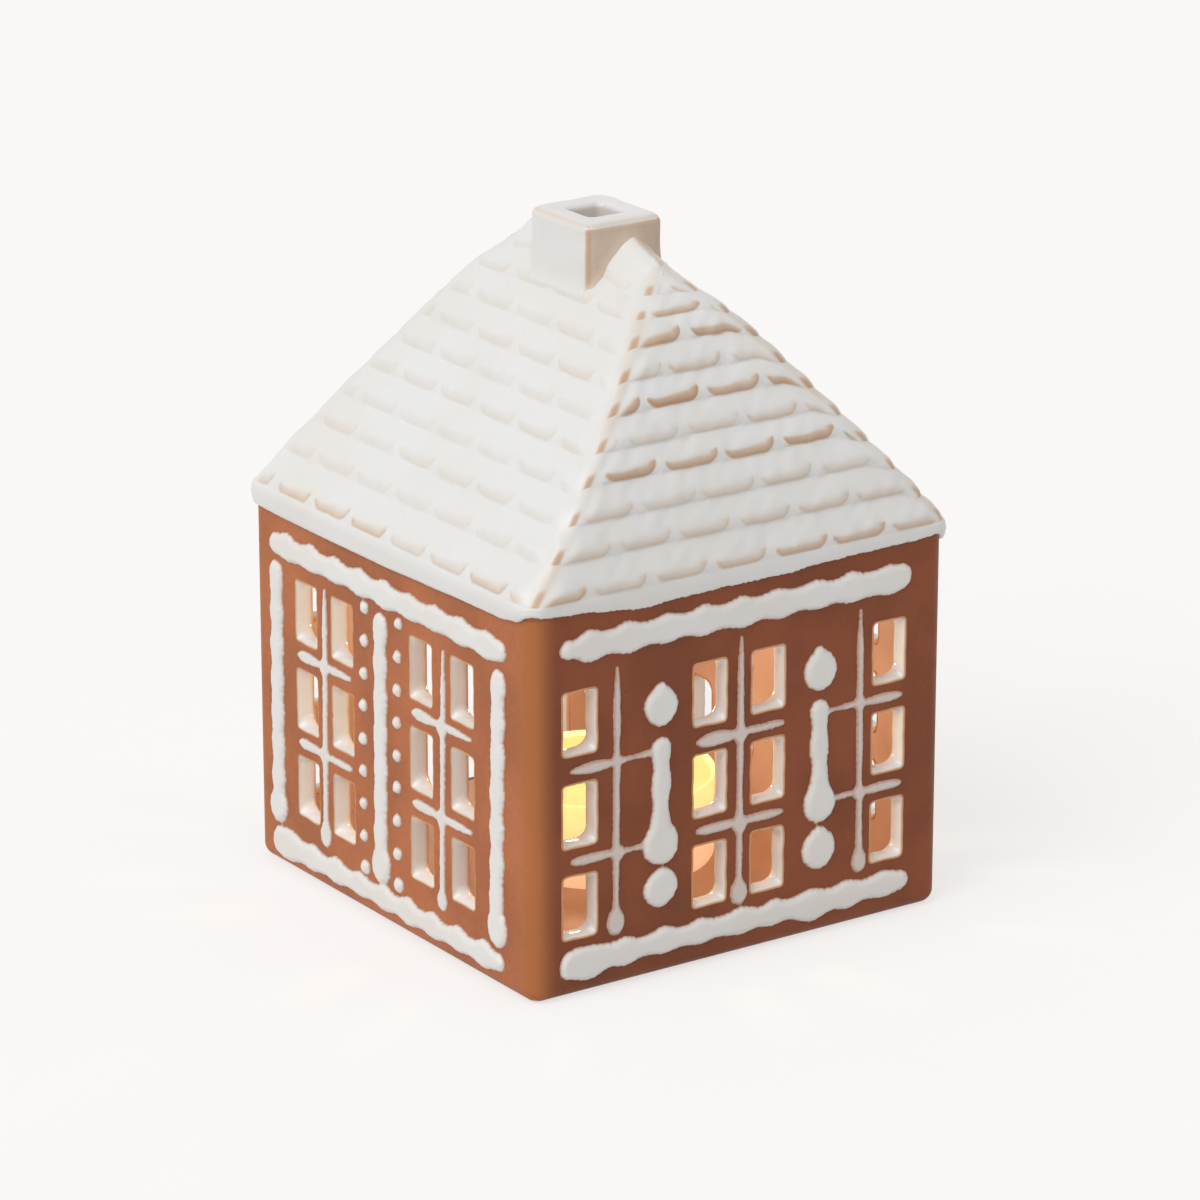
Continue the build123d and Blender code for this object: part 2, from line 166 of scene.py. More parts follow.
def make_kiln_marks():
    """Group that gives a slow drift, a fine grain and small specks, all from 0 to 1."""
    group = bpy.data.node_groups.new("kiln_marks", "ShaderNodeTree")
    group.interface.new_socket("Place", in_out="INPUT", socket_type="NodeSocketVector")
    for mask in ("Drift", "Grain", "Specks"):
        group.interface.new_socket(mask, in_out="OUTPUT", socket_type="NodeSocketFloat")
    place = group.nodes.new("NodeGroupInput").outputs["Place"]

    def noise(scale, detail):
        sockets = {"Vector": place, "Scale": scale, "Detail": detail}
        return add_node(group, "TexNoise", sockets).outputs["Fac"]

    cells = add_node(group, "TexVoronoi", {"Vector": place, "Scale": 420.0})
    dots = to_range(group, cells.outputs["Distance"], 0.02, 0.16, 1.0, 0.0)
    some = to_range(group, noise(160.0, 1.0), 0.56, 0.66)
    fill(group, group.nodes.new("NodeGroupOutput"), {
        "Drift": noise(55.0, 2.0), "Grain": noise(900.0, 5.0),
        "Specks": sums(group, "MULTIPLY", dots, some)})
    return group


kiln_marks = make_kiln_marks()


def fired_material(name):
    """Material, tree, shader, its place on Object coordinates, and the kiln marks there."""
    material, tree, shader = new_material(name)
    place = add_node(tree, "TexCoord").outputs["Object"]
    marks = add_node(tree, "Group", {"Place": place}, node_tree=kiln_marks)
    return material, tree, shader, place, marks.outputs


print("kiln marks give", [item.name for item in kiln_marks.interface.items_tree])

# %% [markdown]
# The body is iron-rich stoneware, fired to a warm brown with a dull sheen. The left side, where the
# light falls, has a lighter painted copy of the clay, and the other sides have a shaded one. Each
# wall takes on half of its neighbour's tone at their shared corner, a painted turn from light to
# shade. Along the left side's corners the clay turns golden, partly where the glaze thins and partly
# as a painted highlight. The distance to those corners is worked out from Object coordinates, which
# stay put in every view. Inside the room the clay is painted much paler, as the candle's glow on its
# walls, so the walls change colour inside.

# %% Stoneware
# golden: partly where the glaze thins on the left corners, partly a painted highlight
GOLDEN_HIGHLIGHT, SPECK = (0.60, 0.225, 0.06), (0.05, 0.02, 0.01)
# the room's clay, painted paler as the candle's glow on it
ROOM_GLOW_DARK, ROOM_GLOW_LIGHT = (0.58, 0.37, 0.26), (0.68, 0.45, 0.33)
NEXT_SHARE, GOLDEN_HIGHLIGHT_SHARE = 0.5, 0.36       # how much of each there is at the very corner
BROWN_DEPTH = 1.2                          # mm below a wall's face where the room's painted glow starts


def make_stoneware(name, tone, next_tone):
    """Brown clay: drift and specks, then the corner's painted light by its distance, then the room's
    painted candle glow.
    """
    material, tree, shader, place, marks = fired_material(name)
    darker, lighter, darkest = (
        tuple(share * channel for channel in tone) for share in (0.86, 1.10, 0.5))
    drift = to_range(tree, marks["Drift"], 0.35, 0.65)
    grain = to_range(tree, marks["Grain"], 0.3, 0.7, 0.0, 0.12, smooth=False)
    specks = sums(tree, "MULTIPLY", marks["Specks"], 0.35)
    colour = mix_colours(tree, drift, darker, lighter)
    colour = mix_colours(tree, grain, colour, darkest)
    colour = mix_colours(tree, specks, colour, SPECK)
    x, y, _ = add_node(tree, "SeparateXYZ", {0: place}).outputs
    off_middle = sums(tree, "ABSOLUTE", y)
    along = sums(tree, "SUBTRACT", x, left_face * MM)
    inward = sums(tree, "SUBTRACT", -front_face * MM, off_middle)
    apart = sums(tree, "POWER", sums(tree, "ADD", sums(tree, "MULTIPLY", along, along),
                                     sums(tree, "MULTIPLY", inward, inward)), 0.5)
    # painted light round the left corners: the lit copy turns into the shaded one, and a golden
    # painted highlight lies along the corner
    turning = to_range(tree, apart, 0.0010, 0.0048, NEXT_SHARE, 0.0)
    near = to_range(tree, apart, 0.0006, 0.0054, GOLDEN_HIGHLIGHT_SHARE, 0.0)
    colour = mix_colours(tree, turning, colour, next_tone)
    colour = mix_colours(tree, near, colour, GOLDEN_HIGHLIGHT)
    # painted light: the clay inside the room takes the paler glow colour
    within = sums(tree, "MULTIPLY",
                  sums(tree, "LESS_THAN", sums(tree, "ABSOLUTE", x),
                       (right_face - BROWN_DEPTH) * MM),
                  sums(tree, "LESS_THAN", off_middle, (back_face - BROWN_DEPTH) * MM))
    colour = mix_colours(tree, within, colour, mix_colours(tree, drift, ROOM_GLOW_DARK, ROOM_GLOW_LIGHT))
    bump = add_node(tree, "Bump", {"Height": marks["Grain"], "Distance": 0.00005, "Strength": 0.25})
    fill(tree, shader, {
        "Base Color": colour, "Normal": bump.outputs[0], "Specular IOR Level": 0.25,
        "Roughness": to_range(tree, marks["Grain"], 0.3, 0.7, 0.42, 0.56, smooth=False)})
    return material


# a shaded and a lit copy of the clay: the left side's lighter tone is painted light
shade_side_tone, lit_side_tone = (0.245, 0.067, 0.025), (0.43, 0.137, 0.050)
front_clay = make_stoneware("stoneware", shade_side_tone, lit_side_tone)
lit_side_clay = make_stoneware("stoneware_lit_side", lit_side_tone, shade_side_tone)


def dress(node, material):
    """Puts a material on a solid that stays in view."""
    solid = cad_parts[node]
    solid.data.materials.clear()
    solid.data.materials.append(material)


for node in ("front_wall", "right_wall", "back_wall", "floor", "chimney"):
    dress(node, front_clay)
dress("left_wall", lit_side_clay)
# one clay in two copies: the shaded one, and one painted lighter where the light falls
print("two firings of the clay, on walls, floor and chimney")

# %% [markdown]
# The white glaze is thick, glossy and a touch warm. Where it runs thin over an edge it breaks, and
# the clay's colour comes through: pale beige first, and brown where hardly a film is left. Each
# glazed piece carries that thinness as a number per point, the attribute thin, so the break follows
# the shape and not a picture. On the roof and the chimney the same number also carries painted
# shade: under the tiles' rounded edges, along the hips, on the chimney's front and inside its flue.

# %% White glaze
WARMER = (0.985, 0.965, 0.93)       # what the kiln's drift does to the white's three channels


def make_glaze(name, white, pale, broken, gloss):
    """Glossy white; as the attribute thin grows to 1 it turns pale beige and then brown."""
    material, tree, shader, _, marks = fired_material(name)
    thin = add_node(tree, "Attribute", attribute_name="thin").outputs["Fac"]
    uneven = to_range(tree, marks["Grain"], 0.3, 0.7, -0.07, 0.07, smooth=False)
    film = add_node(tree, "Clamp", {
        0: sums(tree, "ADD", thin, sums(tree, "MULTIPLY", thin, uneven))}).outputs[0]
    warmer = tuple(channel * share for channel, share in zip(white, WARMER))
    colour = mix_colours(tree, to_range(tree, marks["Drift"], 0.3, 0.7), white, warmer)
    colour = mix_colours(tree, to_range(tree, film, 0.0, 0.5, smooth=False), colour, pale)
    colour = mix_colours(tree, to_range(tree, film, 0.19, 1.0, smooth=False), colour, broken)
    specks = sums(tree, "MULTIPLY", marks["Specks"], 0.06)
    colour = mix_colours(tree, specks, colour, (0.25, 0.14, 0.08))
    rough = to_range(tree, marks["Drift"], 0.3, 0.7, gloss * 0.85, gloss * 1.2)
    fill(tree, shader, {"Base Color": colour, "Roughness": rough})
    return material


roof_white = make_glaze("white_glaze", white=(0.735, 0.733, 0.724), pale=(0.64, 0.52, 0.40),
                        broken=(0.47, 0.27, 0.16), gloss=0.33)
icing_white = make_glaze("piped_glaze", white=(0.755, 0.742, 0.722), pale=(0.56, 0.43, 0.36),
                         broken=(0.34, 0.125, 0.055), gloss=0.34)
window_white = make_glaze("window_glaze", white=(0.80, 0.79, 0.77), pale=(0.68, 0.52, 0.38),
                          broken=(0.55, 0.24, 0.08), gloss=0.12)
print("glazes for the roof, the icing and the windows")

# %% [markdown]
# Every new piece is a surface worked out with numpy. It needs points, four-cornered faces, and its
# thinness per point. A closed surface must face outwards. Its signed volume, the sum of the small
# pyramids from the origin to each face, tells: if it is negative, the faces turn. Where a surface
# ends in a point or on a seam, a weld merges the points that share a place, so that it is closed.

# %% From arrays to a piece


def signed_volume(points, faces):
    """Six times the volume: each face's two triangles as boxes spanned from the origin."""
    first, second, third, fourth = (points[faces[:, corner]] for corner in range(4))
    low = np.einsum("ij,ij->i", first, np.cross(second, third))
    high = np.einsum("ij,ij->i", first, np.cross(third, fourth))
    return float((low + high).sum())


def make_piece(name, points, faces, material, body="house", stands_for=(), thin=None):
    """Mesh object from points in mm and faces, facing outwards, riding on its body."""
    points = np.asarray(points, float).reshape(-1, 3)
    if signed_volume(points, faces) < 0:
        faces = faces[:, ::-1]
    mesh = bpy.data.meshes.new(name)
    mesh.vertices.add(len(points))
    mesh.vertices.foreach_set("co", (points * MM).astype(np.float32).ravel())
    mesh.loops.add(faces.size)
    mesh.loops.foreach_set("vertex_index", faces.astype(np.int32).ravel())
    mesh.polygons.add(len(faces))
    mesh.polygons.foreach_set("loop_start", np.arange(0, faces.size, 4, dtype=np.int32))
    mesh.update(calc_edges=True)
    if thin is not None:
        layer = mesh.attributes.new("thin", "FLOAT", "POINT")
        layer.data.foreach_set("value", thin.astype(np.float32).ravel())
    mesh.shade_smooth()
    mesh.materials.append(material)
    piece = bpy.data.objects.new(name, mesh)
    bpy.context.scene.collection.objects.link(piece)
    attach(piece, body)
    if stands_for:
        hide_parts(*stands_for)
    print(name, "has", 2 * len(faces), "triangles")
    return piece


def weld(piece, reach):
    """Merges points that are nearer than reach, in metres."""
    surface = bmesh.new()
    surface.from_mesh(piece.data)
    bmesh.ops.remove_doubles(surface, verts=surface.verts, dist=reach)
    print(piece.name, "welded from", len(piece.data.vertices), "to", len(surface.verts), "points")
    surface.to_mesh(piece.data)
    surface.free()


# %% [markdown]
# Nothing made by hand is even. Two small functions are used for that all over the house: a soft
# step, and a ripple made of waves that cross at seeded angles, so that it is the same every time.

# %% Soft steps and ripples


def smooth_step(value, low, high):
    """0 below low, 1 above high, and a soft S between them."""
    share = np.clip((value - low) / (high - low), 0, 1)
    return share * share * (3 - 2 * share)


def ripple(first, second, size, seed):
    """Unevenness of about -1 to 1: twelve waves near one length, crossing at seeded angles."""
    chance = np.random.default_rng(seed)
    total = np.zeros(np.broadcast(first, second).shape)
    for turn, start, stretch in zip(
            chance.uniform(0, math.pi, 12), chance.uniform(0, 2 * math.pi, 12),
            chance.uniform(0.75, 1.35, 12)):
        pace = 2 * math.pi / (size * stretch)
        total += np.sin(pace * (first * math.cos(turn) + second * math.sin(turn)) + start)
    return total / 4


print("soft steps and ripples ready")

# %% [markdown]
# Each wall is drawn on flat, as one would pipe it: across runs to the right as seen from outside,
# level runs up, and height stands out of the wall. One function bends that drawing onto the wall.

# %% From a flat drawing to a wall


def onto_wall(side, across, level, height):
    """Point on one wall: across and level along its face, height outward from it."""
    places = {
        "front": (across, front_face - height, level),
        "back": (-across, back_face + height, level),
        "left": (left_face - height, -across, level),
        "right": (right_face + height, across, level),
    }
    return np.stack(np.broadcast_arrays(*places[side]), axis=-1)


print("the middle of the front's foot is at", onto_wall("front", 0.0, 0.0, 0.0))

# %% [markdown]
# Piped slip is the hardest shape to model stroke by stroke, because strokes melt into each other
# where they cross. So each wall's icing is a height field. Every stroke says how deep inside it a
# point of the wall lies, the depths are joined with a soft maximum, which is what surface tension
# does, and the depth gives the height: steep at the rim and nearly flat in the middle.

# %% Strokes as depths


def dot_depth(across, level, x, z, radius, stretch=1.0, corners=2.0):
    """Radius less the distance from the dot's middle; corners under 2 make it four-pointed."""
    wide = np.abs(across - x)
    high = np.abs(level - z) / stretch
    return radius - (wide ** corners + high ** corners) ** (1 / corners)


def stroke_depth(across, level, start, end, half_width):
    """Half width at the nearest point of the stroke's middle line, less the distance to it."""
    run = np.subtract(end, start)
    share = ((across - start[0]) * run[0] + (level - start[1]) * run[1]) / (run @ run)
    share = np.clip(share, 0, 1)
    apart = np.hypot(across - start[0] - share * run[0], level - start[1] - share * run[1])
    return half_width(share) - apart


def wavy(base, swing, waves, start):
    """Half width of a hand-piped stroke that swells a little along its length: a sine wave."""
    return lambda share: base + swing * np.sin(2 * math.pi * waves * share + start)


def join_depths(depths, melt):
    """Soft maximum: the larger depth, raised where two strokes are nearly equal."""
    joined = depths[0]
    for depth in depths[1:]:
        near = np.clip(1 - np.abs(joined - depth) / melt, 0, None)
        joined = np.maximum(joined, depth) + melt / 4 * near ** 2
    return joined


print("a dot of 3 mm is", dot_depth(0.0, 0.0, 0.0, 0.0, 3.0), "mm deep in its middle")

# %% [markdown]
# Three kinds of stroke have a shape of their own. A border is a broad band whose beads swell both
# of its edges. A leaf is a level stroke with a belly. A glazing bar starts as a hair at its top,
# where the nozzle was set down lightly, and ends in a long drop, where it stopped.

# %% Borders, leaves and glazing bars
BORDER_END = 2.0
LEAF_TIP = 0.48


def border_depth(across, level, left, right, bottom, top, beads):
    """Depth in a border. Each bead (place, rise, spread, drop, spread) pushes both edges out."""
    middle = np.clip(across, left + BORDER_END, right - BORDER_END)
    upper = top + sum(rise * np.exp(-((middle - place) / wide) ** 2)
                      for place, rise, wide, _, _ in beads)
    lower = bottom - sum(drop * np.exp(-((middle - place) / broad) ** 2)
                         for place, _, _, drop, broad in beads)
    half = (upper - lower) / 2
    beyond = (across - middle) * half / BORDER_END
    return half - np.hypot(beyond, level - (upper + lower) / 2)


def leaf_depth(across, level, start, end, z, half, fat):
    """Depth in a level stroke whose half width is a bent sine, widest at the share fat."""
    def half_width(share):
        bent = np.where(share < fat, share / fat / 2, 0.5 + (share - fat) / (1 - fat) / 2)
        return LEAF_TIP + (half - LEAF_TIP) * np.sin(math.pi * bent) ** 0.6
    return stroke_depth(across, level, (start, z), (end, z), half_width)


def bar_depth(across, level, x, foot_x, top, foot, drop, half=0.6):
    """Depth in an upright bar, thinner in its first seventh, joined with a drop at its foot."""
    def half_width(share):
        return half * (0.62 + 0.56 * smooth_step(share, 0, 0.14))
    bar = stroke_depth(across, level, (x, top), (foot_x, foot), half_width)
    return join_depths([bar, dot_depth(across, level, foot_x, foot, drop, 1.3)], 0.8)


STROKE_KINDS = {"dot": dot_depth, "stroke": stroke_depth, "border": border_depth,
                "leaf": leaf_depth, "bar": bar_depth}


def drawn(across, level, strokes, melt):
    """Joined depth of a drawing: each of its rows names a kind of stroke and gives its numbers."""
    return join_depths([STROKE_KINDS[kind](across, level, *numbers)
                        for kind, *numbers in strokes], melt)


def even_beads(first, count, pitch, rise, drop):
    """Beads at an even pitch, alternately a little more and less pronounced."""
    return [(first + index * pitch, rise * (1 + 0.12 * math.sin(2.1 * index)), 1.9,
             drop * (1 + 0.25 * math.sin(1.7 * index + 1)), 2.8) for index in range(count)]


print("kinds of stroke:", list(STROKE_KINDS))

# %% [markdown]
# The front's strokes, measured on the photograph in millimetres from the middle of the wall: two
# borders with a bead every 7.4 mm, two posts between drops, and three thin glazing bars with
# leaves. A row gives a dot's place, radius, stretch and corners, a stroke's ends and width, a
# border's four edges and beads, a leaf's ends, level, width and belly, or a bar's two places
# across, its top, foot and drop, and a half width where it isn't the usual one. The rows stay in
# this order, because a soft maximum of three strokes depends on it.

# %% The front's drawing
top_beads = even_beads(first=-30.0, count=9, pitch=7.4, rise=0.65, drop=0.75)
front_bottom_beads = [
    (-30.6, 0.95, 4.4, 1.60, 4.0), (-23.0, 0.75, 1.8, 0.70, 2.6), (-15.4, 0.80, 1.8, 0.55, 2.4),
    (-8.2, 0.60, 1.8, 0.45, 2.4), (-0.2, 0.85, 2.0, 0.65, 2.6), (6.6, 0.75, 1.7, 0.45, 2.2),
    (14.3, 0.85, 2.4, 1.55, 3.4), (21.7, 0.80, 2.0, 0.95, 2.6), (29.1, 0.80, 2.0, 0.60, 2.6)]
post = wavy(base=1.8, swing=0.18, waves=2.3, start=1.9)
fine = wavy(base=0.55, swing=0.05, waves=2, start=0)
front_thick = [
    ("border", -35.8, 34.0, 57.35, 61.35, [(-32.9, -0.45, 1.3, -0.55, 1.5)] + top_beads),
    ("border", -35.9, 34.4, 4.05, 7.6, front_bottom_beads),
    ("stroke", (-16.0, 39.2), (-16.1, 24.0), post),
    ("dot", -16.1, 22.8, 3.5, 1.04, 2.1),
    ("dot", -16.1, 46.4, 3.4, 1.05, 1.7),
    ("dot", -16.1, 49.4, 1.0),
    ("dot", -16.1, 15.3, 3.35, 1.05, 1.75),
    ("stroke", (15.5, 39.2), (15.7, 24.0), post),
    ("dot", 15.7, 23.2, 3.3, 1.08, 2.0),
    ("dot", 15.6, 46.2, 3.4, 1.04, 1.9),
    ("dot", 15.3, 49.4, 1.0),
    ("dot", 15.6, 15.1, 3.45, 1.02, 2.0),
    ("dot", 15.6, 18.0, 1.0)]
front_thin = [
    ("bar", -24.6, -24.9, 54.5, 11.2, 1.75),
    ("leaf", -33.2, -25.4, 38.7, 1.05, 0.55),
    ("stroke", (-25.0, 38.8), (-16.0, 38.8), fine),
    ("dot", -24.7, 38.8, 1.2, 1.1, 1.4),
    ("leaf", -33.2, -25.4, 23.3, 0.95, 0.35),
    ("stroke", (-25.0, 23.2), (-16.0, 23.2), fine),
    ("dot", -24.6, 23.1, 1.5, 1.15, 1.4),
    ("bar", -0.3, -0.5, 54.8, 11.0, 1.75),
    ("leaf", -8.7, -1.0, 38.6, 1.3, 0.42),
    ("leaf", 0.2, 8.0, 38.7, 0.75, 0.5),
    ("dot", -0.4, 38.4, 1.6, 1.1, 1.4),
    ("leaf", -8.6, -1.0, 23.3, 0.95, 0.4),
    ("leaf", 0.2, 8.0, 23.3, 0.85, 0.6),
    ("dot", -0.4, 22.9, 1.75, 1.2, 1.4),
    ("bar", 23.7, 24.0, 54.8, 11.0, 1.6),
    ("leaf", 24.2, 32.2, 38.8, 0.9, 0.5),
    ("stroke", (15.8, 38.8), (23.8, 38.9), fine),
    ("dot", 23.8, 38.9, 1.3, 1.1, 1.4),
    ("leaf", 24.4, 32.2, 23.3, 0.9, 0.6),
    ("stroke", (15.8, 23.3), (23.8, 23.4), fine),
    ("dot", 23.9, 23.2, 1.5, 1.15, 1.4)]
print("the front has", len(front_thick), "thick strokes and", len(front_thin), "thin ones")

# %% [markdown]
# The sides are drawn the same way: borders, three uprights that end in drops, two leaning columns
# of nine small dots, and two thin glazing bars. The photograph shows the left wall. The right one
# is its repeat, and a few strokes lean a little more there, as they would by hand.

# %% The sides' drawing
side_dots = [(-6.8, 54.1), (-7.1, 48.4), (-7.35, 42.6), (-7.6, 36.9), (-7.8, 31.0), (-7.85, 25.4),
             (-7.9, 19.7), (-7.85, 13.9), (-7.5, 8.4), (3.5, 54.2), (3.1, 48.4), (2.9, 42.6),
             (2.7, 36.9), (2.6, 31.1), (2.55, 25.5), (2.5, 19.7), (2.5, 13.9), (2.7, 8.5)]
side_top_beads = even_beads(first=-30.8, count=9, pitch=7.56, rise=0.75, drop=0.65)
side_bottom_beads = [(-32.3, 1.35, 4.2, 1.45, 4.2)]
side_bottom_beads += even_beads(first=-24.2, count=8, pitch=7.5, rise=0.95, drop=0.75)
upright = wavy(base=1.93, swing=0.17, waves=7.0, start=0.6)


def side_thick(lean):
    """Borders, uprights and small dots; lean shifts their tops across, in millimetres."""
    return [
        ("border", -36.5, 35.2, 56.25, 59.9, side_top_beads),
        ("border", -36.8, 34.2, 3.1, 6.35, side_bottom_beads),
        ("stroke", (-34.5 + lean, 52.8), (-34.9, 11.0), upright),
        ("dot", -34.9, 10.9, 2.7, 1.25),
        ("stroke", (-2.0 + lean, 52.6), (-2.6, 10.6), upright),
        ("dot", -2.5, 10.4, 2.85, 1.25),
        ("stroke", (32.9 + lean, 52.9), (32.0, 10.8), upright),
        ("dot", 32.3, 10.6, 2.8, 1.25),
        *(("dot", x + lean * (z - 8) / 90, z, 1.2 if z > 9 else 1.45) for x, z in side_dots)]


def side_thin(lean):
    """The two glazing bars, with a knot where each crosses its leaves."""
    return [
        ("bar", -19.3 + lean, -20.0, 53.6, 10.2, 1.75, 0.7),
        ("leaf", -27.6, -20.5, 40.1, 1.1, 0.25),
        ("leaf", -19.5, -11.8, 40.2, 0.85, 0.5),
        ("dot", -19.8, 40.0, 1.65, 1.15, 1.35),
        ("leaf", -27.6, -20.5, 24.5, 1.1, 0.25),
        ("leaf", -19.5, -11.8, 24.4, 0.85, 0.5),
        ("dot", -20.0, 24.3, 1.65, 1.2, 1.35),
        ("bar", 16.8 + lean, 15.9, 53.2, 10.0, 1.45, 0.65),
        ("leaf", 7.6, 15.4, 40.2, 1.1, 0.25),
        ("leaf", 16.2, 24.6, 40.4, 0.8, 0.4),
        ("dot", 16.0, 40.0, 1.65, 1.15, 1.35),
        ("leaf", 7.6, 15.4, 24.5, 1.1, 0.25),
        ("leaf", 16.2, 24.6, 24.5, 0.8, 0.4),
        ("dot", 15.9, 24.3, 1.65, 1.2, 1.35)]


print("a side has", len(side_thick(0)), "thick strokes and", len(side_thin(0)), "thin ones")

# %% [markdown]
# The back has a doorway, so its lower border is in two parts, and one glazing bar stands beside
# each column of windows.

# %% The back's drawing
left_beads = even_beads(first=-31.6, count=2, pitch=5.9, rise=0.7, drop=0.7)
right_beads = even_beads(first=25.0, count=2, pitch=5.6, rise=0.7, drop=0.7)
back_thick = [
    ("border", -34.6, 33.4, 57.35, 61.35, top_beads),
    ("border", -34.6, -22.6, 4.05, 7.6, left_beads),
    ("border", 22.6, 33.4, 4.05, 7.6, right_beads)]
back_thin = []
for turn, leaf_start, leaf_end in ((-1, -32.2, -25.2), (1, 25.2, 32.2)):
    back_thin.append(("bar", turn * 24.6, turn * 24.8, 54.0, 11.1, 1.7))
    for z in (38.8, 23.2):
        back_thin += [("leaf", leaf_start, leaf_end, z, 0.95, 0.5),
                      ("dot", turn * 24.7, z, 2.1, 1.1, 1.25)]
print("the back has", len(back_thick), "thick strokes and", len(back_thin), "thin ones")

# %% [markdown]
# Depth becomes height here. The grid keeps only the cells that lie in or just beside a stroke, and
# dives a third of a millimetre into the wall, so its edge is where the curved surface meets the
# clay, as crisp as the real one. A flat underside closes each stroke. The attribute thin marks the
# rim, where slip is a mere film, and the glazing bars, which were piped with thinner slip. The bars
# are bared less on the left wall.

# %% Closed patches of a grid
GRID_STEP = 0.21
GRID_FOOT, GRID_TOP = 0.9, 64.0
UNDERSIDE = -0.35                   # height of the underside, inside the wall
BESIDE = -0.25                      # how far beside a stroke its points are kept
THICK_HEIGHT, THICK_EDGE = 0.80, 1.25
THIN_HEIGHT, THIN_EDGE = 0.36, 0.6


def crowned(depth, height, edge):
    """Height over a stroke: rises to its full height at the depth edge, and goes on below 0."""
    share = np.clip(depth / edge, -2, 1)
    return height * (1 - np.abs(1 - share) ** 2.2)


def closed_patch(keep):
    """Faces of a grid's kept cells, the same turned over for the underside, and the rim."""
    number = np.arange((keep.shape[0] + 1) * (keep.shape[1] + 1)).reshape(keep.shape[0] + 1, -1)
    under = number.size
    corners = [number[:-1, :-1], number[:-1, 1:], number[1:, 1:], number[1:, :-1]]
    top = np.stack(corners, -1)[keep]
    faces = [top, top[:, ::-1] + under]
    wide = np.pad(keep, 1)
    neighbours = wide[:-2, 1:-1], wide[1:-1, 2:], wide[2:, 1:-1], wide[1:-1, :-2]
    for start, end, neighbour in zip(corners, corners[1:] + corners[:1], neighbours):
        rim = np.stack([end, start, start + under, end + under], -1)
        faces.append(rim[keep & ~neighbour])
    return np.concatenate(faces)


def used_only(points, faces, thin):
    """Drops the points that no face uses, and numbers the rest anew."""
    used, renumbered = np.unique(faces, return_inverse=True)
    return points[used], renumbered.reshape(-1, 4), thin[used]


print("icing is worked out at every", GRID_STEP, "mm")

# %% Pipe the icing
FINE_SHAKE, BROAD_SHAKE = 0.07, 0.10
CROSSING_MELT = 0.5                 # how softly thin bars run into thick strokes
RIM_THIN, RIM_WIDE = 0.75, 0.24
BARS_THIN, LEFT_BARS_THIN = 0.46, 0.12


def pipe_icing(side, half_span, thick, thick_melt, thin_bars, thin_melt, own_parts, seed):
    """One wall's icing: the depths of both drawings, unsteady by hand, as one height field."""
    across, level = np.meshgrid(np.arange(-half_span, half_span, GRID_STEP),
                                np.arange(GRID_FOOT, GRID_TOP, GRID_STEP))
    unsteady = (FINE_SHAKE * ripple(across, level, 1.2, seed)
                + BROAD_SHAKE * ripple(across, level, 6, seed + 1))
    thick_in = drawn(across, level, thick, thick_melt) + unsteady
    thin_in = drawn(across, level, thin_bars, thin_melt) + 0.8 * unsteady
    depth = join_depths([thick_in, thin_in], CROSSING_MELT)
    height = np.maximum(crowned(thick_in, THICK_HEIGHT, THICK_EDGE),
                        crowned(thin_in, THIN_HEIGHT, THIN_EDGE))
    melted = depth > np.maximum(thick_in, thin_in) + 0.01
    height = np.where(melted, np.maximum(height, crowned(depth, THIN_HEIGHT, THIN_EDGE)), height)
    height = np.maximum(height, UNDERSIDE + 0.05)
    near = depth > BESIDE
    keep = near[:-1, :-1] | near[1:, :-1] | near[:-1, 1:] | near[1:, 1:]
    top = onto_wall(side, across, level, height).reshape(-1, 3)
    under = onto_wall(side, across, level, UNDERSIDE).reshape(-1, 3)
    rim = RIM_THIN * (1 - smooth_step(depth, 0.0, RIM_WIDE))
    bars = LEFT_BARS_THIN if side == "left" else BARS_THIN
    bars = bars * (1 - smooth_step(thick_in, -0.3, 0.5))
    bars = bars * (1 - 0.5 * smooth_step(thin_in, 0.12, 0.6))
    thin = np.maximum(rim, bars).ravel()
    points, faces, thin = used_only(
        np.concatenate([top, under]), closed_patch(keep), np.concatenate([thin, thin]))
    parts = ("top_border", "bottom_border", *own_parts, "glazing_bars")
    make_piece(side + "_icing", points, faces, icing_white,
               stands_for=[side + "_" + part for part in parts], thin=thin)


pipe_icing("front", half_span=38.5, thick=front_thick, thick_melt=0.9,
           thin_bars=front_thin, thin_melt=0.5, own_parts=("posts",), seed=11)
for side, thick_lean, thin_lean, seed in (("left", 0, 0, 23), ("right", 0.35, -0.3, 37)):
    pipe_icing(side, half_span=39.5, thick=side_thick(thick_lean), thick_melt=0.45,
               thin_bars=side_thin(thin_lean), thin_melt=0.5,
               own_parts=("uprights", "dots"), seed=seed)
pipe_icing("back", half_span=38.5, thick=back_thick, thick_melt=0.9,
           thin_bars=back_thin, thin_melt=0.7, own_parts=(), seed=51)

# %% [markdown]
# The windows, the chimney and the roof all go round something, so they share one outline: a
# rectangle with rounded corners. Its points come from a table. On a straight side the table moves
# from corner to corner, and on a corner it turns. Half sizes and radius may differ from ring to
# ring, so a whole surface is one formula on two axes.

# %% Rounded outlines


def outline_table(along_wide, along_high, turn_points):
    """Columns of a rounded rectangle, once round: corner weights in both axes, and the facing."""
    weights, facings = [], []
    corners = [(1, 1), (-1, 1), (-1, -1), (1, -1)]
    for index, (wide, high) in enumerate(corners):
        begin = math.pi / 2 * index
        turning = begin + np.linspace(0, math.pi / 2, turn_points)
        weights += [(wide, high)] * turn_points
        facings += list(turning)
        next_wide, next_high = corners[(index + 1) % 4]
        count = along_wide if index % 2 == 0 else along_high
        share = (np.arange(count) + 1) / (count + 1)
        weights += list(zip(wide + (next_wide - wide) * share, high + (next_high - high) * share))
        facings += [begin + math.pi / 2] * count
    return np.array(weights), np.array(facings)


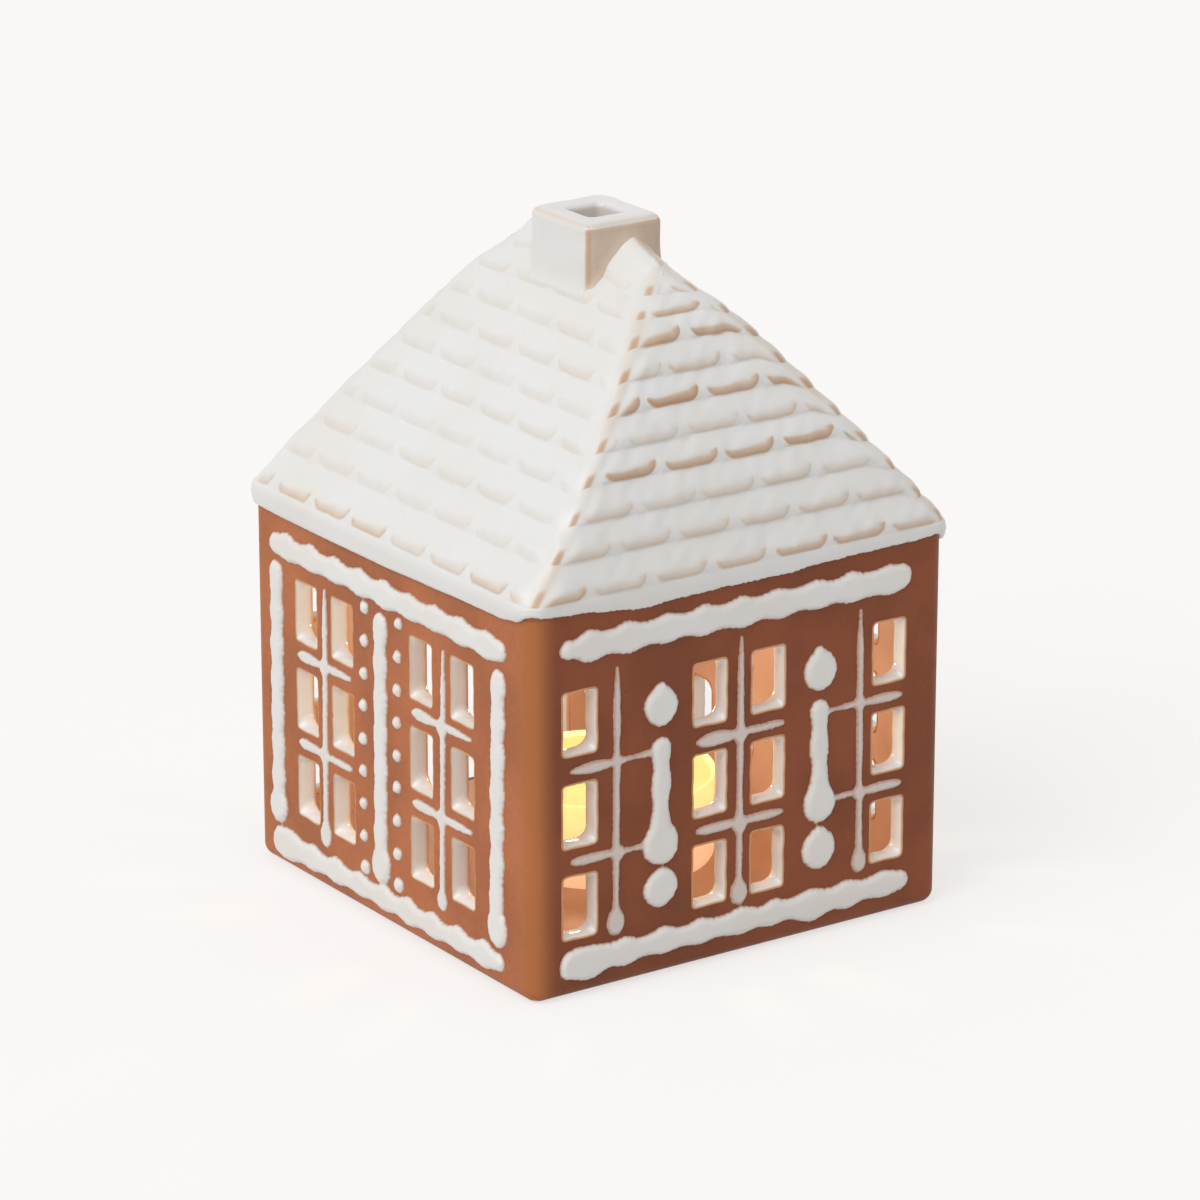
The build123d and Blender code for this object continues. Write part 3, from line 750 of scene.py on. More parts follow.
def rounded_ring(table, half_wide, half_high, radius):
    """Points of rounded rectangles: each corner's middle, and the radius in the facing."""
    weights, facing = table
    x = weights[:, 0] * (half_wide - radius) + radius * np.cos(facing)
    y = weights[:, 1] * (half_high - radius) + radius * np.sin(facing)
    return x, y


def ring_faces(rings, columns, closed=False):
    """Faces between neighbouring rings, each closed once round; closed joins last to first."""
    number = np.arange(rings * columns).reshape(rings, columns)
    lower = number if closed else number[:-1]
    upper = np.roll(number, -1, 0) if closed else number[1:]
    corners = [lower, np.roll(lower, -1, 1), np.roll(upper, -1, 1), upper]
    return np.stack(corners, -1).reshape(-1, 4)


print("an outline of 2 and 3 points a side has", len(outline_table(2, 3, 4)[1]), "in all")

# %% [markdown]
# Each window is lined with glaze. It starts as a thin golden film on the clay's edge, rolls over
# into the opening, pools on the sill, rounds the inner corners, and curls back at the inner edge.
# The profile below is one walk through the wall. Its end joins its start inside the clay, so every
# liner is a closed ring. The side walls were coated more thinly, so there the walk is squeezed.

# %% Line the windows
WALL = 3.4
WINDOW_WIDE, WINDOW_HIGH = 6.9, 11.0
WINDOW_RISE = 15.6
SILL_POOL = 0.28                    # depth of the glaze that gathered on the sill
# middles of the columns, level of the lowest row, and the coat's share across and upright
side_windows = (84.4 * np.array([-0.300, -0.167, 0.118, 0.263]), 16.6, (0.35, 0.7))
wall_windows = {
    "front": (82 * np.array([-0.388, -0.078, 0.063, 0.362]), 15.5, (1.0, 0.9)),
    "left": side_windows,
    "right": side_windows,
    "back": (82 * np.array([-0.375, 0.375]), 15.5, (1.0, 0.9)),
}
# out from the opening's edge, height above the wall, corner radius, thinness
liner_walk = np.array([
    (0.16, -0.25, 0.95, 1.0), (0.13, -0.02, 0.95, 1.0), (0.08, 0.04, 0.9, 1.0),
    (-0.02, 0.08, 0.8, 1.0), (-0.13, 0.07, 0.7, 0.9), (-0.23, 0.02, 0.6, 0.6),
    (-0.31, -0.08, 0.6, 0.25), (-0.36, -0.25, 0.75, 0.05), (-0.38, -0.55, 1.15, 0.0),
    (-0.39, -0.95, 1.6, 0.0), (-0.39, -1.40, 1.95, 0.0), (-0.39, -1.85, 2.2, 0.0),
    (-0.37, -2.25, 2.3, 0.0), (-0.33, -2.60, 2.35, 0.05), (-0.25, -2.90, 2.35, 0.2),
    (-0.13, -3.18, 2.3, 0.5), (0.02, -3.38, 2.2, 0.75), (0.16, -3.47, 2.1, 0.9),
    (0.28, -3.45, 2.0, 1.0), (0.35, -3.25, 1.9, 1.0)])
walk_out, walk_height, walk_corner, walk_thin = liner_walk.T[:, :, None]


def line_windows(side, seed):
    """All liners of one wall: a rounded ring for each step of the walk, at each window."""
    columns, base, coat_shares = wall_windows[side]
    table = outline_table(along_wide=9, along_high=15, turn_points=7)
    squeezed = [walk_out * np.where(walk_out < 0, share, 1) for share in coat_shares]
    wide, high = rounded_ring(table, WINDOW_WIDE / 2 + squeezed[0],
                              WINDOW_HIGH / 2 + squeezed[1], walk_corner)
    inside = smooth_step(-walk_height, 0.2, 1.4) * (1 - smooth_step(-walk_height, 2.6, 3.4))
    on_sill = smooth_step(-high, WINDOW_HIGH / 2 - 1.6, WINDOW_HIGH / 2 - 0.4)
    high = high + SILL_POOL * inside * on_sill
    points, faces, films = [], [], []
    for index, x in enumerate(columns):
        for row in range(3):
            z = base + row * WINDOW_RISE
            shake = 0.06 * ripple(wide + 31 * index + 7 * row, high, 5.0, seed)
            pool = 0.05 * ripple(wide + walk_height, high + 13 * row + 5 * index, 2.4, seed + 1)
            pinch = 1 - (0.012 + 0.01 * pool) * inside
            height = walk_height + np.where(walk_height > 0, 0.6 * pool, 0)
            points.append(onto_wall(side, x + wide * pinch + shake, z + high * pinch + shake,
                                    height))
            faces.append(ring_faces(*wide.shape, closed=True) + len(faces) * wide.size)
            films.append(np.clip(walk_thin * (1 + 2.0 * pool), 0, 1))
    make_piece(side + "_window_lining", points, np.concatenate(faces), window_white,
               stands_for=[side + "_window_glaze"], thin=np.array(films))


for side, seed in (("front", 61), ("left", 67), ("right", 71), ("back", 73)):
    line_windows(side, seed)

# %% [markdown]
# The roof is one surface: rings from the skirt on the walls up to the ridge, and columns all the
# way round. Tables give the level of each row of tiles, measured apart for the front and the sides,
# because a hand-made roof isn't level. A ring follows its row, so grid lines lie along the tiles'
# edges, where the shape changes fastest, and the rings are densest there. Each column belongs to
# the sides, the front and the back by three shares, the squares of its facing's sine and cosine,
# so that one slope passes into the next over the rounding of the hip.

# %% The roof's plain form
EAVE_HIGH, EAVE_WIDE, EAVE_DEEP = 66.8, 41.6, 42.3
ROOF_RISE, RIDGE_LONG = 48.3, 16.9
FRONT_SWELL, BACK_SWELL = 3.0, 1.2
COAT = 0.5
row_levels = {
    "side": [67.6, 73.0, 77.9, 82.5, 87.2, 91.6, 96.0, 100.4, 104.8, 109.0, 113.5],
    "front": [67.4, 73.2, 78.4, 83.5, 88.0, 92.8, 97.1, 101.5, 105.4, 109.2, 113.5],
    "back": [67.5, 72.9, 78.1, 83.2, 88.1, 92.8, 97.4, 101.7, 105.9, 110.0, 113.5],
}
ROWS = 10

roof_table = outline_table(along_wide=176, along_high=186, turn_points=14)
roof_facing = roof_table[1]
sideways = np.cos(roof_facing) ** 2
forward = np.sin(roof_facing) ** 2 * (np.sin(roof_facing) < 0)
backward = np.sin(roof_facing) ** 2 * (np.sin(roof_facing) >= 0)
endways = forward + backward


def by_slope(side, front, back):
    """One value per column from a value for each slope, by the column's shares."""
    return sideways * side + forward * front + backward * back


def roof_halves(level):
    """Half widths of the clay roof at a level: to the side, the front and the back slope."""
    share = (level - EAVE_HIGH) / ROOF_RISE
    swell = 4 * share * (1 - share)
    gable = EAVE_DEEP - (EAVE_DEEP - RIDGE_LONG) * share
    return EAVE_WIDE * (1 - share), gable + FRONT_SWELL * swell, gable + BACK_SWELL * swell


def hip_radius(level, side_half):
    """Rounding of the hips: broad at the eave, tighter above, and no more than the ridge allows."""
    broad = 3.3 - 1.0 * smooth_step(level, 67, 76) + 0.7 * smooth_step(level, 98, 108)
    return np.minimum(broad, 0.9 + 0.85 * side_half)


print("a ring of the roof has", len(roof_facing), "points")

# %% [markdown]
# A tile is rolled: its face swells from nothing, under the row above, to most of a millimetre at its
# lower edge, and there it turns down in a quarter round. Glaze filled the joints and ran over them,
# so between two tiles the edge is a soft saddle. Where glaze flowed off the edge it broke to the
# clay's brown, in a band that is sharp below and curled up at the tile's ends; its soft upper part
# is painted shade under the rounded edge. It broke most on the front, where every second row is
# brown. On the sides the band is a faint grey-beige, partly thin glaze and partly painted shade.

# %% Tiles on a slope
TILE_PITCH, TILE_HALF, TILE_CORNER = 11.7, 5.05, 1.8
LIP, BELLY = 0.85, 0.12
# per row: the glaze's break at the tiles' lower edges together with painted shade above it; on the
# sides a faint painted shade with little break
break_and_shade_shares = {
    "front": [0.50, 0.34, 0.30, 0.72, 0.28, 0.76, 0.28, 0.76, 0.5, 0.4, 0.3],
    "side": [0.36, 0.13, 0.16, 0.12, 0.17, 0.13, 0.16, 0.12, 0.15, 0.13, 0.1],
    "back": [0.55, 0.35, 0.5, 0.4, 0.6, 0.35, 0.6, 0.4, 0.5, 0.4, 0.3],
}


def quarter_round(depth, reach):
    """0 outside, then a quarter of an ellipse up to 1 at the given depth."""
    share = np.clip(depth / reach, 0, 1)
    return np.sqrt(1 - (1 - share) ** 2)


def tiles(slope, across, row_place, first_middle, seed):
    """Rise, and break with painted shade above it, on one slope, where row_place counts rows up it,
    parts of a row included.

    In each row the nearest tile is found by rounding. Its rise is the product of a fall towards the
    row above, an edge below, and a joint at either end. Its break is a band at the depth from its
    edge or its ends, whichever is nearer: crisp at the edge, where the glaze broke, and soft above,
    where it is painted shade."""
    levels = np.array(row_levels[slope])
    rise = np.zeros(np.broadcast(across, row_place).shape)
    broken = rise.copy()
    lean, crisp = (1.32, 0.25) if slope == "side" else (1.14, 0.75)
    chance = np.random.default_rng(seed)
    for row in range(ROWS):
        pitch = (levels[row + 1] - levels[row]) * lean
        up_slope = (row_place - row) * pitch
        middle = first_middle + TILE_PITCH / 2 * (row % 2)
        slot = np.round((across - middle) / TILE_PITCH)
        order = (slot + 20).astype(int)
        shift, size, tone, drop = chance.normal(0, 1, (4, 60))
        aside = across - middle - slot * TILE_PITCH - 0.15 * shift[order]
        sag = 0.16 * (1 - (aside / TILE_HALF) ** 2) + 0.07 * drop[order]
        to_edge = up_slope + sag + 0.06 * ripple(across, 0.0, 4.0, seed + row)
        to_end = TILE_HALF + 0.1 * size[order] - np.abs(aside)
        in_corner = np.hypot(np.clip(TILE_CORNER - to_end, 0, None),
                             np.clip(TILE_CORNER - to_edge, 0, None))
        depth = np.where((to_end < TILE_CORNER) & (to_edge < TILE_CORNER),
                         TILE_CORNER - in_corner, np.minimum(to_end, to_edge))
        face = 1 - np.clip(up_slope / pitch, 0, 1) ** 1.25
        joint = 1 - smooth_step(to_end, -0.8, 1.2)
        edge = crisp * quarter_round(to_edge + 0.12, 1.7)
        edge = (edge + (1 - crisp) * smooth_step(to_edge, -0.4, 2.2)) * (1 - joint)
        edge = edge + joint * smooth_step(to_edge, -1.5, 2.0)
        lip = LIP * (1 - 0.55 * smooth_step(row, 6.5, 9.0))
        body = face * (lip * edge + BELLY * smooth_step(depth, 0.2, 3.4))
        rise = np.maximum(rise, np.where(up_slope > -1.8, body, 0))
        # the band: a crisp break at the edge, and above it a soft painted shade under the tile's
        # rounded edge
        band = smooth_step(depth, -0.20, 0.04) * (1 - smooth_step(depth, 0.40, 2.5))
        band = band * (0.72 + 0.28 * (1 - smooth_step(depth, 0.15, 0.7)))
        high = 1.8 + 0.7 * smooth_step(aside, -2.0, 3.0)
        low = 1 - smooth_step(to_edge, high - 0.9, high)
        share = break_and_shade_shares[slope][row] * (1 + 0.16 * tone[order])
        broken = np.maximum(broken, band * share * low)
    return rise, np.clip(broken, 0, 1)


print("tiles of", 2 * TILE_HALF, "mm at every", TILE_PITCH, "mm")

# %% [markdown]
# The skirt is where glaze ran down over the tops of the walls. Its edge wanders: low in the middle
# of the front, high at the near corner. It is one thick roll: a drop's edge on the wall, upright
# above, and a quarter of an ellipse up to the first row. Knots give its lower edge on each side,
# and half a cosine wave joins them.

# %% The skirt and the eave
WALL_WIDE, WALL_DEEP, WALL_CORNER = right_face, back_face, 2.7
skirt_knots = {
    "front": ([-41, -37, -33, -25, -20, -14, -4, 8, 16, 25, 33, 41],
              [65.9, 65.3, 65.1, 64.3, 63.6, 64.0, 64.2, 64.2, 64.7, 64.9, 65.0, 65.5]),
    "side": ([-42, -30, -16, 0, 12, 24, 34, 38, 42],
             [63.4, 63.1, 63.05, 63.1, 63.4, 63.7, 63.8, 64.3, 65.8]),
    "back": ([-41, -28, -10, 8, 22, 41], [65.0, 64.2, 64.7, 64.0, 64.5, 65.2]),
}
# how far the film stands off the wall, and how far above the skirt's edge
skirt_steps = [(-0.30, 0.12), (0.12, -0.04), (0.42, 0.00), (0.65, 0.13), (0.80, 0.35),
               (0.89, 0.65)]
lift_steps = 1 - (1 - np.linspace(0.08, 1.0, 15)) ** 1.5


def wandering(place, knots):
    """Value between knots, eased with half a cosine wave so that it has no corners."""
    spots, values = (np.array(part, float) for part in knots)
    index = np.clip(np.searchsorted(spots, place) - 1, 0, len(spots) - 2)
    share = np.clip((place - spots[index]) / (spots[index + 1] - spots[index]), 0, 1)
    share = (1 - np.cos(math.pi * share)) / 2
    return values[index] * (1 - share) + values[index + 1] * share


def skirt_edge(x, y):
    """Lower edge of the skirt: each side's own curve, by how much a column belongs to it."""
    edge = by_slope(wandering(np.where(x < 0, -y, y), skirt_knots["side"]),
                    wandering(x, skirt_knots["front"]), wandering(-x, skirt_knots["back"]))
    jag = 0.10 * ripple(x, y, 0.9, 91) + 0.06 * ripple(x, y, 3.0, 92)
    return edge + jag * (0.25 + 0.75 * endways)


def lower_rings():
    """The drop's edge from its steps, then the roll: a quarter ellipse to the first row."""
    edge = skirt_edge(*rounded_ring(roof_table, WALL_WIDE, WALL_DEEP, WALL_CORNER))
    first = by_slope(*(row_levels[slope][0] for slope in ("side", "front", "back"))) - 0.22
    crease_wide, crease_deep = (half + COAT + 0.12 for half in roof_halves(first)[:2])
    films = [(film, edge + above) for film, above in skirt_steps]
    last_film, last_above = skirt_steps[-1]
    for step in lift_steps:
        level = edge + last_above + (first - edge - last_above) * step
        thicker = smooth_step(level, edge + last_above, edge + 1.6)
        films.append((last_film + 0.11 * thicker, level))
    rings = []
    for film, level in films:
        wide = WALL_WIDE + film + 0.10 * smooth_step(level, 64.6, 66.2)
        deep = WALL_DEEP + 0.72 * film
        roll = 1 - np.sqrt(1 - np.clip((level - 66.0) / (first - 66.0), 0, 1) ** 2)
        wide = wide + (crease_wide - wide) * roll
        deep = deep + (crease_deep - deep) * roll
        corner = WALL_CORNER + 0.35 * film + 0.35 * smooth_step(level, 65.5, 67.0)
        rings.append(np.stack([*rounded_ring(roof_table, wide, deep, corner), level], -1))
    return np.array(rings)


low_rings = lower_rings()
print("the skirt's edge lies between", low_rings[1, :, 2].min(), "and", low_rings[1, :, 2].max())

# %% [markdown]
# Above the eave each point starts on the clay's plain outline plus its coat, and the tiles' rise
# pushes it out, square to the slope. Rows sag towards the hips, as laid by hand, and each row ends
# on the hip in a small bulge. On a hip's rounding both slopes' tiles count, each by its share. The
# hips carry a faint line on their front side, partly thin glaze and partly painted shade that dims
# the hip's highlight, with a brown tick at every row where the glaze broke. On the side slopes a
# faint painted shade runs along the hip.

# %% The hips
row_parts = np.array([0, 0.02, 0.045, 0.075, 0.11, 0.15, 0.20, 0.27, 0.35, 0.45, 0.56, 0.67,
                      0.77, 0.86, 0.93, 0.97, 0.988])
row_places = np.concatenate([row + row_parts for row in range(ROWS)])
STREAK_AND_SHADE_SHARE, TICK_SHARE, SIDE_SHADE_SHARE = 0.27, 0.72, 0.08


def hip_break(place, inward, on_end_slope):
    """Brown beside a hip. On an end slope: a faint streak, part thin glaze and part painted shade,
    and a tick at each row's edge. On a side slope: a faint painted shade.
    """
    beside = smooth_step(inward, -0.6, 0.2) * (1 - smooth_step(inward, 1.1, 2.6))
    part = place - np.floor(place)
    tick = (1 - smooth_step(part, 0.20, 0.46)) * (1 - smooth_step(inward, 0.9, 1.7))
    patchy = np.clip(0.55 + 0.6 * ripple(place * 6, inward, 11.0, 205), 0, 1)
    # painted shade in part: the streak dims the hip's highlight, while the ticks are where the glaze
    # broke
    marks = (STREAK_AND_SHADE_SHARE * beside * patchy
             + TICK_SHARE * tick * smooth_step(inward, 0.1, 0.6))
    # painted shade along the hip on a side slope
    faint = SIDE_SHADE_SHARE * (1 - smooth_step(inward, 0.2, 1.6))
    return np.where(on_end_slope, marks, faint)


def from_hip(x, y, side_half, deep):
    """Distance along a slope's rows from the nearer hip, about 0 on the hip itself."""
    return sideways * (deep - np.abs(y)) + endways * (side_half - np.abs(x))


def hip_sag(x, place):
    """How far rows hang down at a hip: most at the right end of the front."""
    front_right = (forward + 0.6 * sideways) * (x > 0)
    return 1.6 * front_right * smooth_step(place, 0, 1.2) * (1 - smooth_step(place, 8, 10))


def outline_at(level):
    """Coated outline at each column's own level, its two halves, and its shift to the back."""
    side_half, front_half, back_half = roof_halves(level)
    deep = (front_half + back_half) / 2
    x, y = rounded_ring(roof_table, side_half + COAT, deep + COAT, hip_radius(level, side_half))
    return x, y, side_half, deep, (back_half - front_half) / 2


print("each row of tiles is", len(row_parts), "rings high")

# %% The rows of tiles and the crest
LEAN_SIDE, LEAN_FRONT = ROOF_RISE / math.hypot(ROOF_RISE, EAVE_WIDE), 0.87
CREST_RISE = 0.85                   # of the ridge's middle line over the last ring
END_DROP, HEAP_RISE = 2.3, 0.7


def upper_rings():
    """The rows of tiles: the outline, plus the tiles' rise times the slope's own direction."""
    place = row_places[:, None] + np.zeros(len(roof_facing))
    level = by_slope(*(np.interp(place, np.arange(ROWS + 1), row_levels[slope])
                       for slope in ("side", "front", "back")))
    x, y, side_half, deep, _ = outline_at(level)
    close = 1 - smooth_step(from_hip(x, y, side_half, deep), 0.6, 5.0)
    level = level - close * hip_sag(x, place)
    x, y, side_half, deep, to_back = outline_at(level)
    on_left = np.cos(roof_facing) < 0
    on_right_half = x > 0
    bulge = on_right_half * 0.24 * np.sin(math.pi * (place - np.floor(place)) ** 0.8)
    least = 0.10 + 0.22 * on_right_half
    rise, broken = np.zeros_like(x), np.zeros_like(x)
    # a column's share, the slope, across it, its half width, a tile's middle, the seed
    for weight, slope, across, half, first, seed in (
            (sideways * on_left, "side", -y, deep, 6.5, 101),
            (sideways * ~on_left, "side", y, deep, 6.5, 131),
            (forward, "front", x, side_half, -0.9, 161),
            (backward, "back", -x, side_half, 0.0, 191)):
        lift, breaks = tiles(slope, across, place, first, seed)
        inward = half - np.abs(across)
        lift = lift * (least + (1 - least) * smooth_step(inward, 0.8, 4.2))
        lift = lift + bulge * (1 - smooth_step(inward, 0.6, 2.6)) * (place > 0.1)
        fade = 1 - 0.85 * (1 - smooth_step(inward, 1.5, 3.6))
        hip = hip_break(place, inward, slope != "side")
        rise += weight * lift
        broken += weight * np.maximum(breaks * fade, hip)
    outward = sideways * LEAN_SIDE + endways * LEAN_FRONT
    upward = np.sqrt(np.clip(1 - outward ** 2, 0, 1))
    uneven = 0.08 * ripple(x + y, level, 7.0, 211) + 0.05 * ripple(x - y, level, 3.4, 213)
    rise = rise + uneven * (1 - smooth_step(place, 9.3, 9.95))
    rings = np.stack([x + rise * outward * np.cos(roof_facing),
                      y + to_back + rise * outward * np.sin(roof_facing),
                      level + rise * upward], -1)
    return rings, broken


def crest_rings(last):
    """From the last ring to a line along the ridge's top: a parabola across the ridge."""
    rings = []
    for share in (0.15, 0.35, 0.55, 0.75, 0.9, 1.0):
        x, y, z = last.T
        rings.append(np.stack([x * (1 - share), y * (1 - 0.10 * share),
                               z + CREST_RISE * (2 * share - share ** 2)], -1))
    return np.array(rings)


def soften_ends(rings):
    """Lowers the ridge towards its two ends, and heaps glaze against the chimney's front."""
    near_end = smooth_step(np.abs(rings[..., 1]), 9.5, 19.0)
    near_top = smooth_step(rings[..., 2], 103.0, 114.0)
    rings[..., 2] -= END_DROP * near_end * near_top
    heap = np.exp(-((rings[..., 1] + 9.6) / 1.7) ** 2) * smooth_step(rings[..., 2], 108, 113)
    rings[..., 2] += HEAP_RISE * heap
    return rings


tile_rings, tile_breaks = upper_rings()
top_rings = soften_ends(crest_rings(tile_rings[-1]))
tile_rings = soften_ends(tile_rings)
print("rings of skirt, tiles and crest:", len(low_rings), len(tile_rings), len(top_rings))

# %% [markdown]
# The surface is cut in two in the middle of a row, to keep each piece light. Faces over the flue
# are left out: their edge is hidden in the chimney's clay. Glaze is thin at the skirt's edge, and
# on the right of the ridge's front end.

# %% Cut the roof's glaze in two pieces
FLUE_WIDE, FLUE_DEEP = 3.8, 4.0
CLAY_ROUND_FLUE = 1.3               # how far into the flue's clay the glaze's edge is hidden
chimney_low, chimney_high = box_mm("chimney")
chimney_middle = (chimney_low + chimney_high) / 2


def over_flue(middles):
    """Whether a face lies over the flue, or over the inner part of the clay round it."""
    return ((np.abs(middles[:, 0] - chimney_middle[0]) < FLUE_WIDE + CLAY_ROUND_FLUE)
            & (np.abs(middles[:, 1] - chimney_middle[1]) < FLUE_DEEP + CLAY_ROUND_FLUE))


def roof_part(name, rings, breaks):
    """A run of rings as one piece, without the faces that would cover the flue."""
    faces = ring_faces(*rings.shape[:2])
    points = rings.reshape(-1, 3)
    points, faces, thin = used_only(
        points, faces[~over_flue(points[faces].mean(1))], breaks.ravel())
    return make_piece(name, points, faces, roof_white,
                      stands_for=["roof_glaze"], thin=thin)


speck = ripple(low_rings[:, :, 0], low_rings[:, :, 1], 1.3, 231)
low_breaks = np.zeros(low_rings.shape[:2])
low_breaks[1] = 0.55 * forward + 0.25 * (1 - forward)
low_breaks[2] = 0.55 * forward * smooth_step(speck[2], 0.2, 1.0)
top_breaks = 0.36 * (smooth_step(-top_rings[..., 1], 9.0, 11.0)
                     * smooth_step(top_rings[..., 0], -0.4, 0.4))
all_rings = np.concatenate([low_rings, tile_rings, top_rings])
all_breaks = np.concatenate([low_breaks, tile_breaks, top_breaks])
cut = len(low_rings) + 4 * len(row_parts) + 11
roof_part("lower_roof_glaze", all_rings[:cut + 1], all_breaks[:cut + 1])
weld(roof_part("upper_roof_glaze", all_rings[cut:], all_breaks[cut:]), 2e-6)

# %% [markdown]
# Under the glaze is the clay shell, seen from inside, up through the doorway. The solid has sharp
# hips, which would show through the rounded glaze, so the shell is drawn again with the same
# rounding: down the ceiling from its ridge, across the top of the walls, and up under the glaze.

# %% The clay shell of the roof
INNER_WIDE, INNER_DEEP = WALL_WIDE - WALL, WALL_DEEP - WALL
INNER_RIDGE, INNER_CORNER = 0.4, 2.0
ROOF_THICK = 4.6
UNDER_GLAZE = 0.05
shell_table = outline_table(along_wide=30, along_high=32, turn_points=8)


def shell_rings():
    """Ceiling rings from its ridge down, then outer rings up, both ended in a line."""
    peak = EAVE_HIGH + ROOF_RISE - ROOF_THICK * ROOF_RISE / EAVE_WIDE
    rings = []
    for share in np.linspace(0, 1, 14):
        level = peak + (wall_top - peak) * share
        gable = INNER_DEEP - (EAVE_DEEP - RIDGE_LONG) * (level - wall_top) / ROOF_RISE
        wide = INNER_RIDGE * (share > 0) + (INNER_WIDE - INNER_RIDGE) * share
        x, y = rounded_ring(shell_table, wide, gable, min(INNER_CORNER, wide))
        rings.append(np.stack([x, y, np.full_like(x, level)], -1))
    for level in np.linspace(wall_top, 112.8, 22):
        side_half, front_half, back_half = roof_halves(max(level, EAVE_HIGH))
        side_half = min(side_half, WALL_WIDE + 0.02 + max(0.0, level - wall_top) / 3)
        deep = (front_half + back_half) / 2
        above_wall = smooth_step(level, 65.5, 67.5)
        hip = hip_radius(level, side_half) + 0.2
        x, y = rounded_ring(shell_table, side_half - UNDER_GLAZE, deep - UNDER_GLAZE,
                            WALL_CORNER + (hip - WALL_CORNER) * above_wall)
        y = y + (back_half - front_half) / 2
        rings.append(np.stack([x, y, np.full_like(x, level)], -1))
    crest = rings[-1].copy()
    crest[:, 0] = 0
    crest[:, 2] -= 0.5
    return soften_ends(np.array(rings + [crest]))


shell = shell_rings()
shell_points = shell.reshape(-1, 3)
shell_faces = ring_faces(*shell.shape[:2])
shell_faces = shell_faces[~over_flue(shell_points[shell_faces].mean(1))]
weld(make_piece("roof_shell", shell_points, shell_faces, front_clay,
                stands_for=["roof"]), 2e-5)

# %% [markdown]
# The chimney's coat goes up its four sides, rolls over the rim, and runs a little way down the flue.
# It is one walk again: how far out of the outer wall, the level, and the corner's radius. Where it
# meets the slopes the glaze pooled, so the film widens near the roof. The front is darker, warm and
# grey: partly thinner glaze, partly painted shade on the side the key light barely reaches. Inside
# the flue a painted shade darkens the glaze, most on the left inner wall, which faces away from the
# light. Along the upright edges it broke to gold.

# %% Glaze the chimney
chimney_table = outline_table(along_wide=20, along_high=24, turn_points=11)
CHIMNEY_FILM = 0.25
RIM_ROLL, LIP_ROLL = 1.5, 0.9       # radii of the roll outside the rim and of the one inside
FLUE_FILM = 0.35
FOOT_LEVEL, FLUE_LEVEL = 103.5, 111.5
CREST_LEVEL = 114.1


def roof_level_under(x):
    """Height of the glazed roof below a point near the ridge, from the slope of its side."""
    slope = EAVE_HIGH + ROOF_RISE * (1 - (np.abs(x) - COAT) / EAVE_WIDE)
    return np.minimum(slope, CREST_LEVEL)


def chimney_walk(rim, lip):
    """Up the outside, a quarter round over the rim, another into the flue, and down inside."""
    walk = [(0.5, level, 1.7) for level in np.linspace(FOOT_LEVEL, rim - 1.6, 46)]
    walk += [(0.5 - RIM_ROLL * (1 - math.cos(turn)), rim - RIM_ROLL + RIM_ROLL * math.sin(turn),
              1.7) for turn in np.linspace(0.10, math.pi / 2, 11)]
    walk += [(-1.4, rim, 1.6), (-lip + LIP_ROLL, rim - 0.02, 1.4)]
    walk += [(-lip + LIP_ROLL - LIP_ROLL * math.sin(turn),
              rim - LIP_ROLL + 0.88 * math.cos(turn), 1.35)
             for turn in np.linspace(0.25, math.pi / 2, 7)]
    walk += [(-lip, level, 1.3) for level in np.linspace(rim - 1.3, FLUE_LEVEL, 10)]
    walk += [(-lip + 0.1, 111.2, 1.3), (-lip + 0.5, 111.0, 1.2), (-1.6, 110.9, 1.2)]
    return np.array(walk).T[:, :, None]


def glaze_chimney():
    """A rounded ring for each step of the walk, pushed out where glaze pooled at the foot."""
    half_wide, half_deep = (chimney_high - chimney_low)[:2] / 2 + CHIMNEY_FILM
    rim = chimney_high[2] + COAT
    out, level, corner = chimney_walk(rim, half_wide - FLUE_WIDE + FLUE_FILM)
    to_flue = (FLUE_DEEP - FLUE_WIDE) - (half_deep - half_wide)
    wall_deep = half_deep + np.where(out < -1.3, to_flue, 0) * smooth_step(-out, 1.2, 2.6)
    x, y = rounded_ring(chimney_table, half_wide + out, wall_deep + out, corner)
    above = level - roof_level_under(x + chimney_middle[0])
    outside = out > 0.3
    facing = chimney_table[1]
    to_left, to_front = np.cos(facing) < 0, np.sin(facing) < 0
    edges = np.abs(np.sin(2 * facing)) ** 5
    foot = np.where(outside, 0.8 * np.exp(-np.clip(above, 0, None) / 1.3), 0) * (1 - 0.6 * edges)
    uneven = 0.07 * ripple(x + y, level, 6.0, 241)
    grow = (foot + uneven) * np.where(outside | (level > rim - RIM_ROLL), 1, 0.4)
    x = x + chimney_middle[0] + grow * np.cos(facing)
    y = y + chimney_middle[1] + grow * np.sin(facing)
    level = level + np.where(outside, 0, 1) * 0.5 * uneven
    bared = 0.35 + 0.65 * (to_left & to_front) + 0.4 * ((np.cos(facing) > 0) & to_front)
    upright = edges * bared * smooth_step(above, 0.3, 2.0) * outside
    turning = np.exp(-(out / 0.40) ** 2) * (level > rim - 1.7)
    # painted shade inside the flue, most on its left inner wall, which faces away from the light
    flue_shade = (0.12 + 0.20 * to_left) * smooth_step(rim - level, 0.4, 2.0) * (out < -1.5)
    # the front darker: partly thinner glaze, partly painted shade where the key light barely reaches
    on_front = smooth_step(-np.sin(facing), 0.3, 0.9) * outside
    front_shade_veil = on_front * (0.40 + 0.08 * smooth_step(x - chimney_middle[0], 0, 6.5))
    thin = np.clip(0.45 * upright + 0.24 * turning + flue_shade + front_shade_veil, 0, 1)
    make_piece("chimney_coat", np.stack([x, y, level], -1), ring_faces(*x.shape, closed=True),
               roof_white, stands_for=["chimney_glaze"], thin=thin)


glaze_chimney()

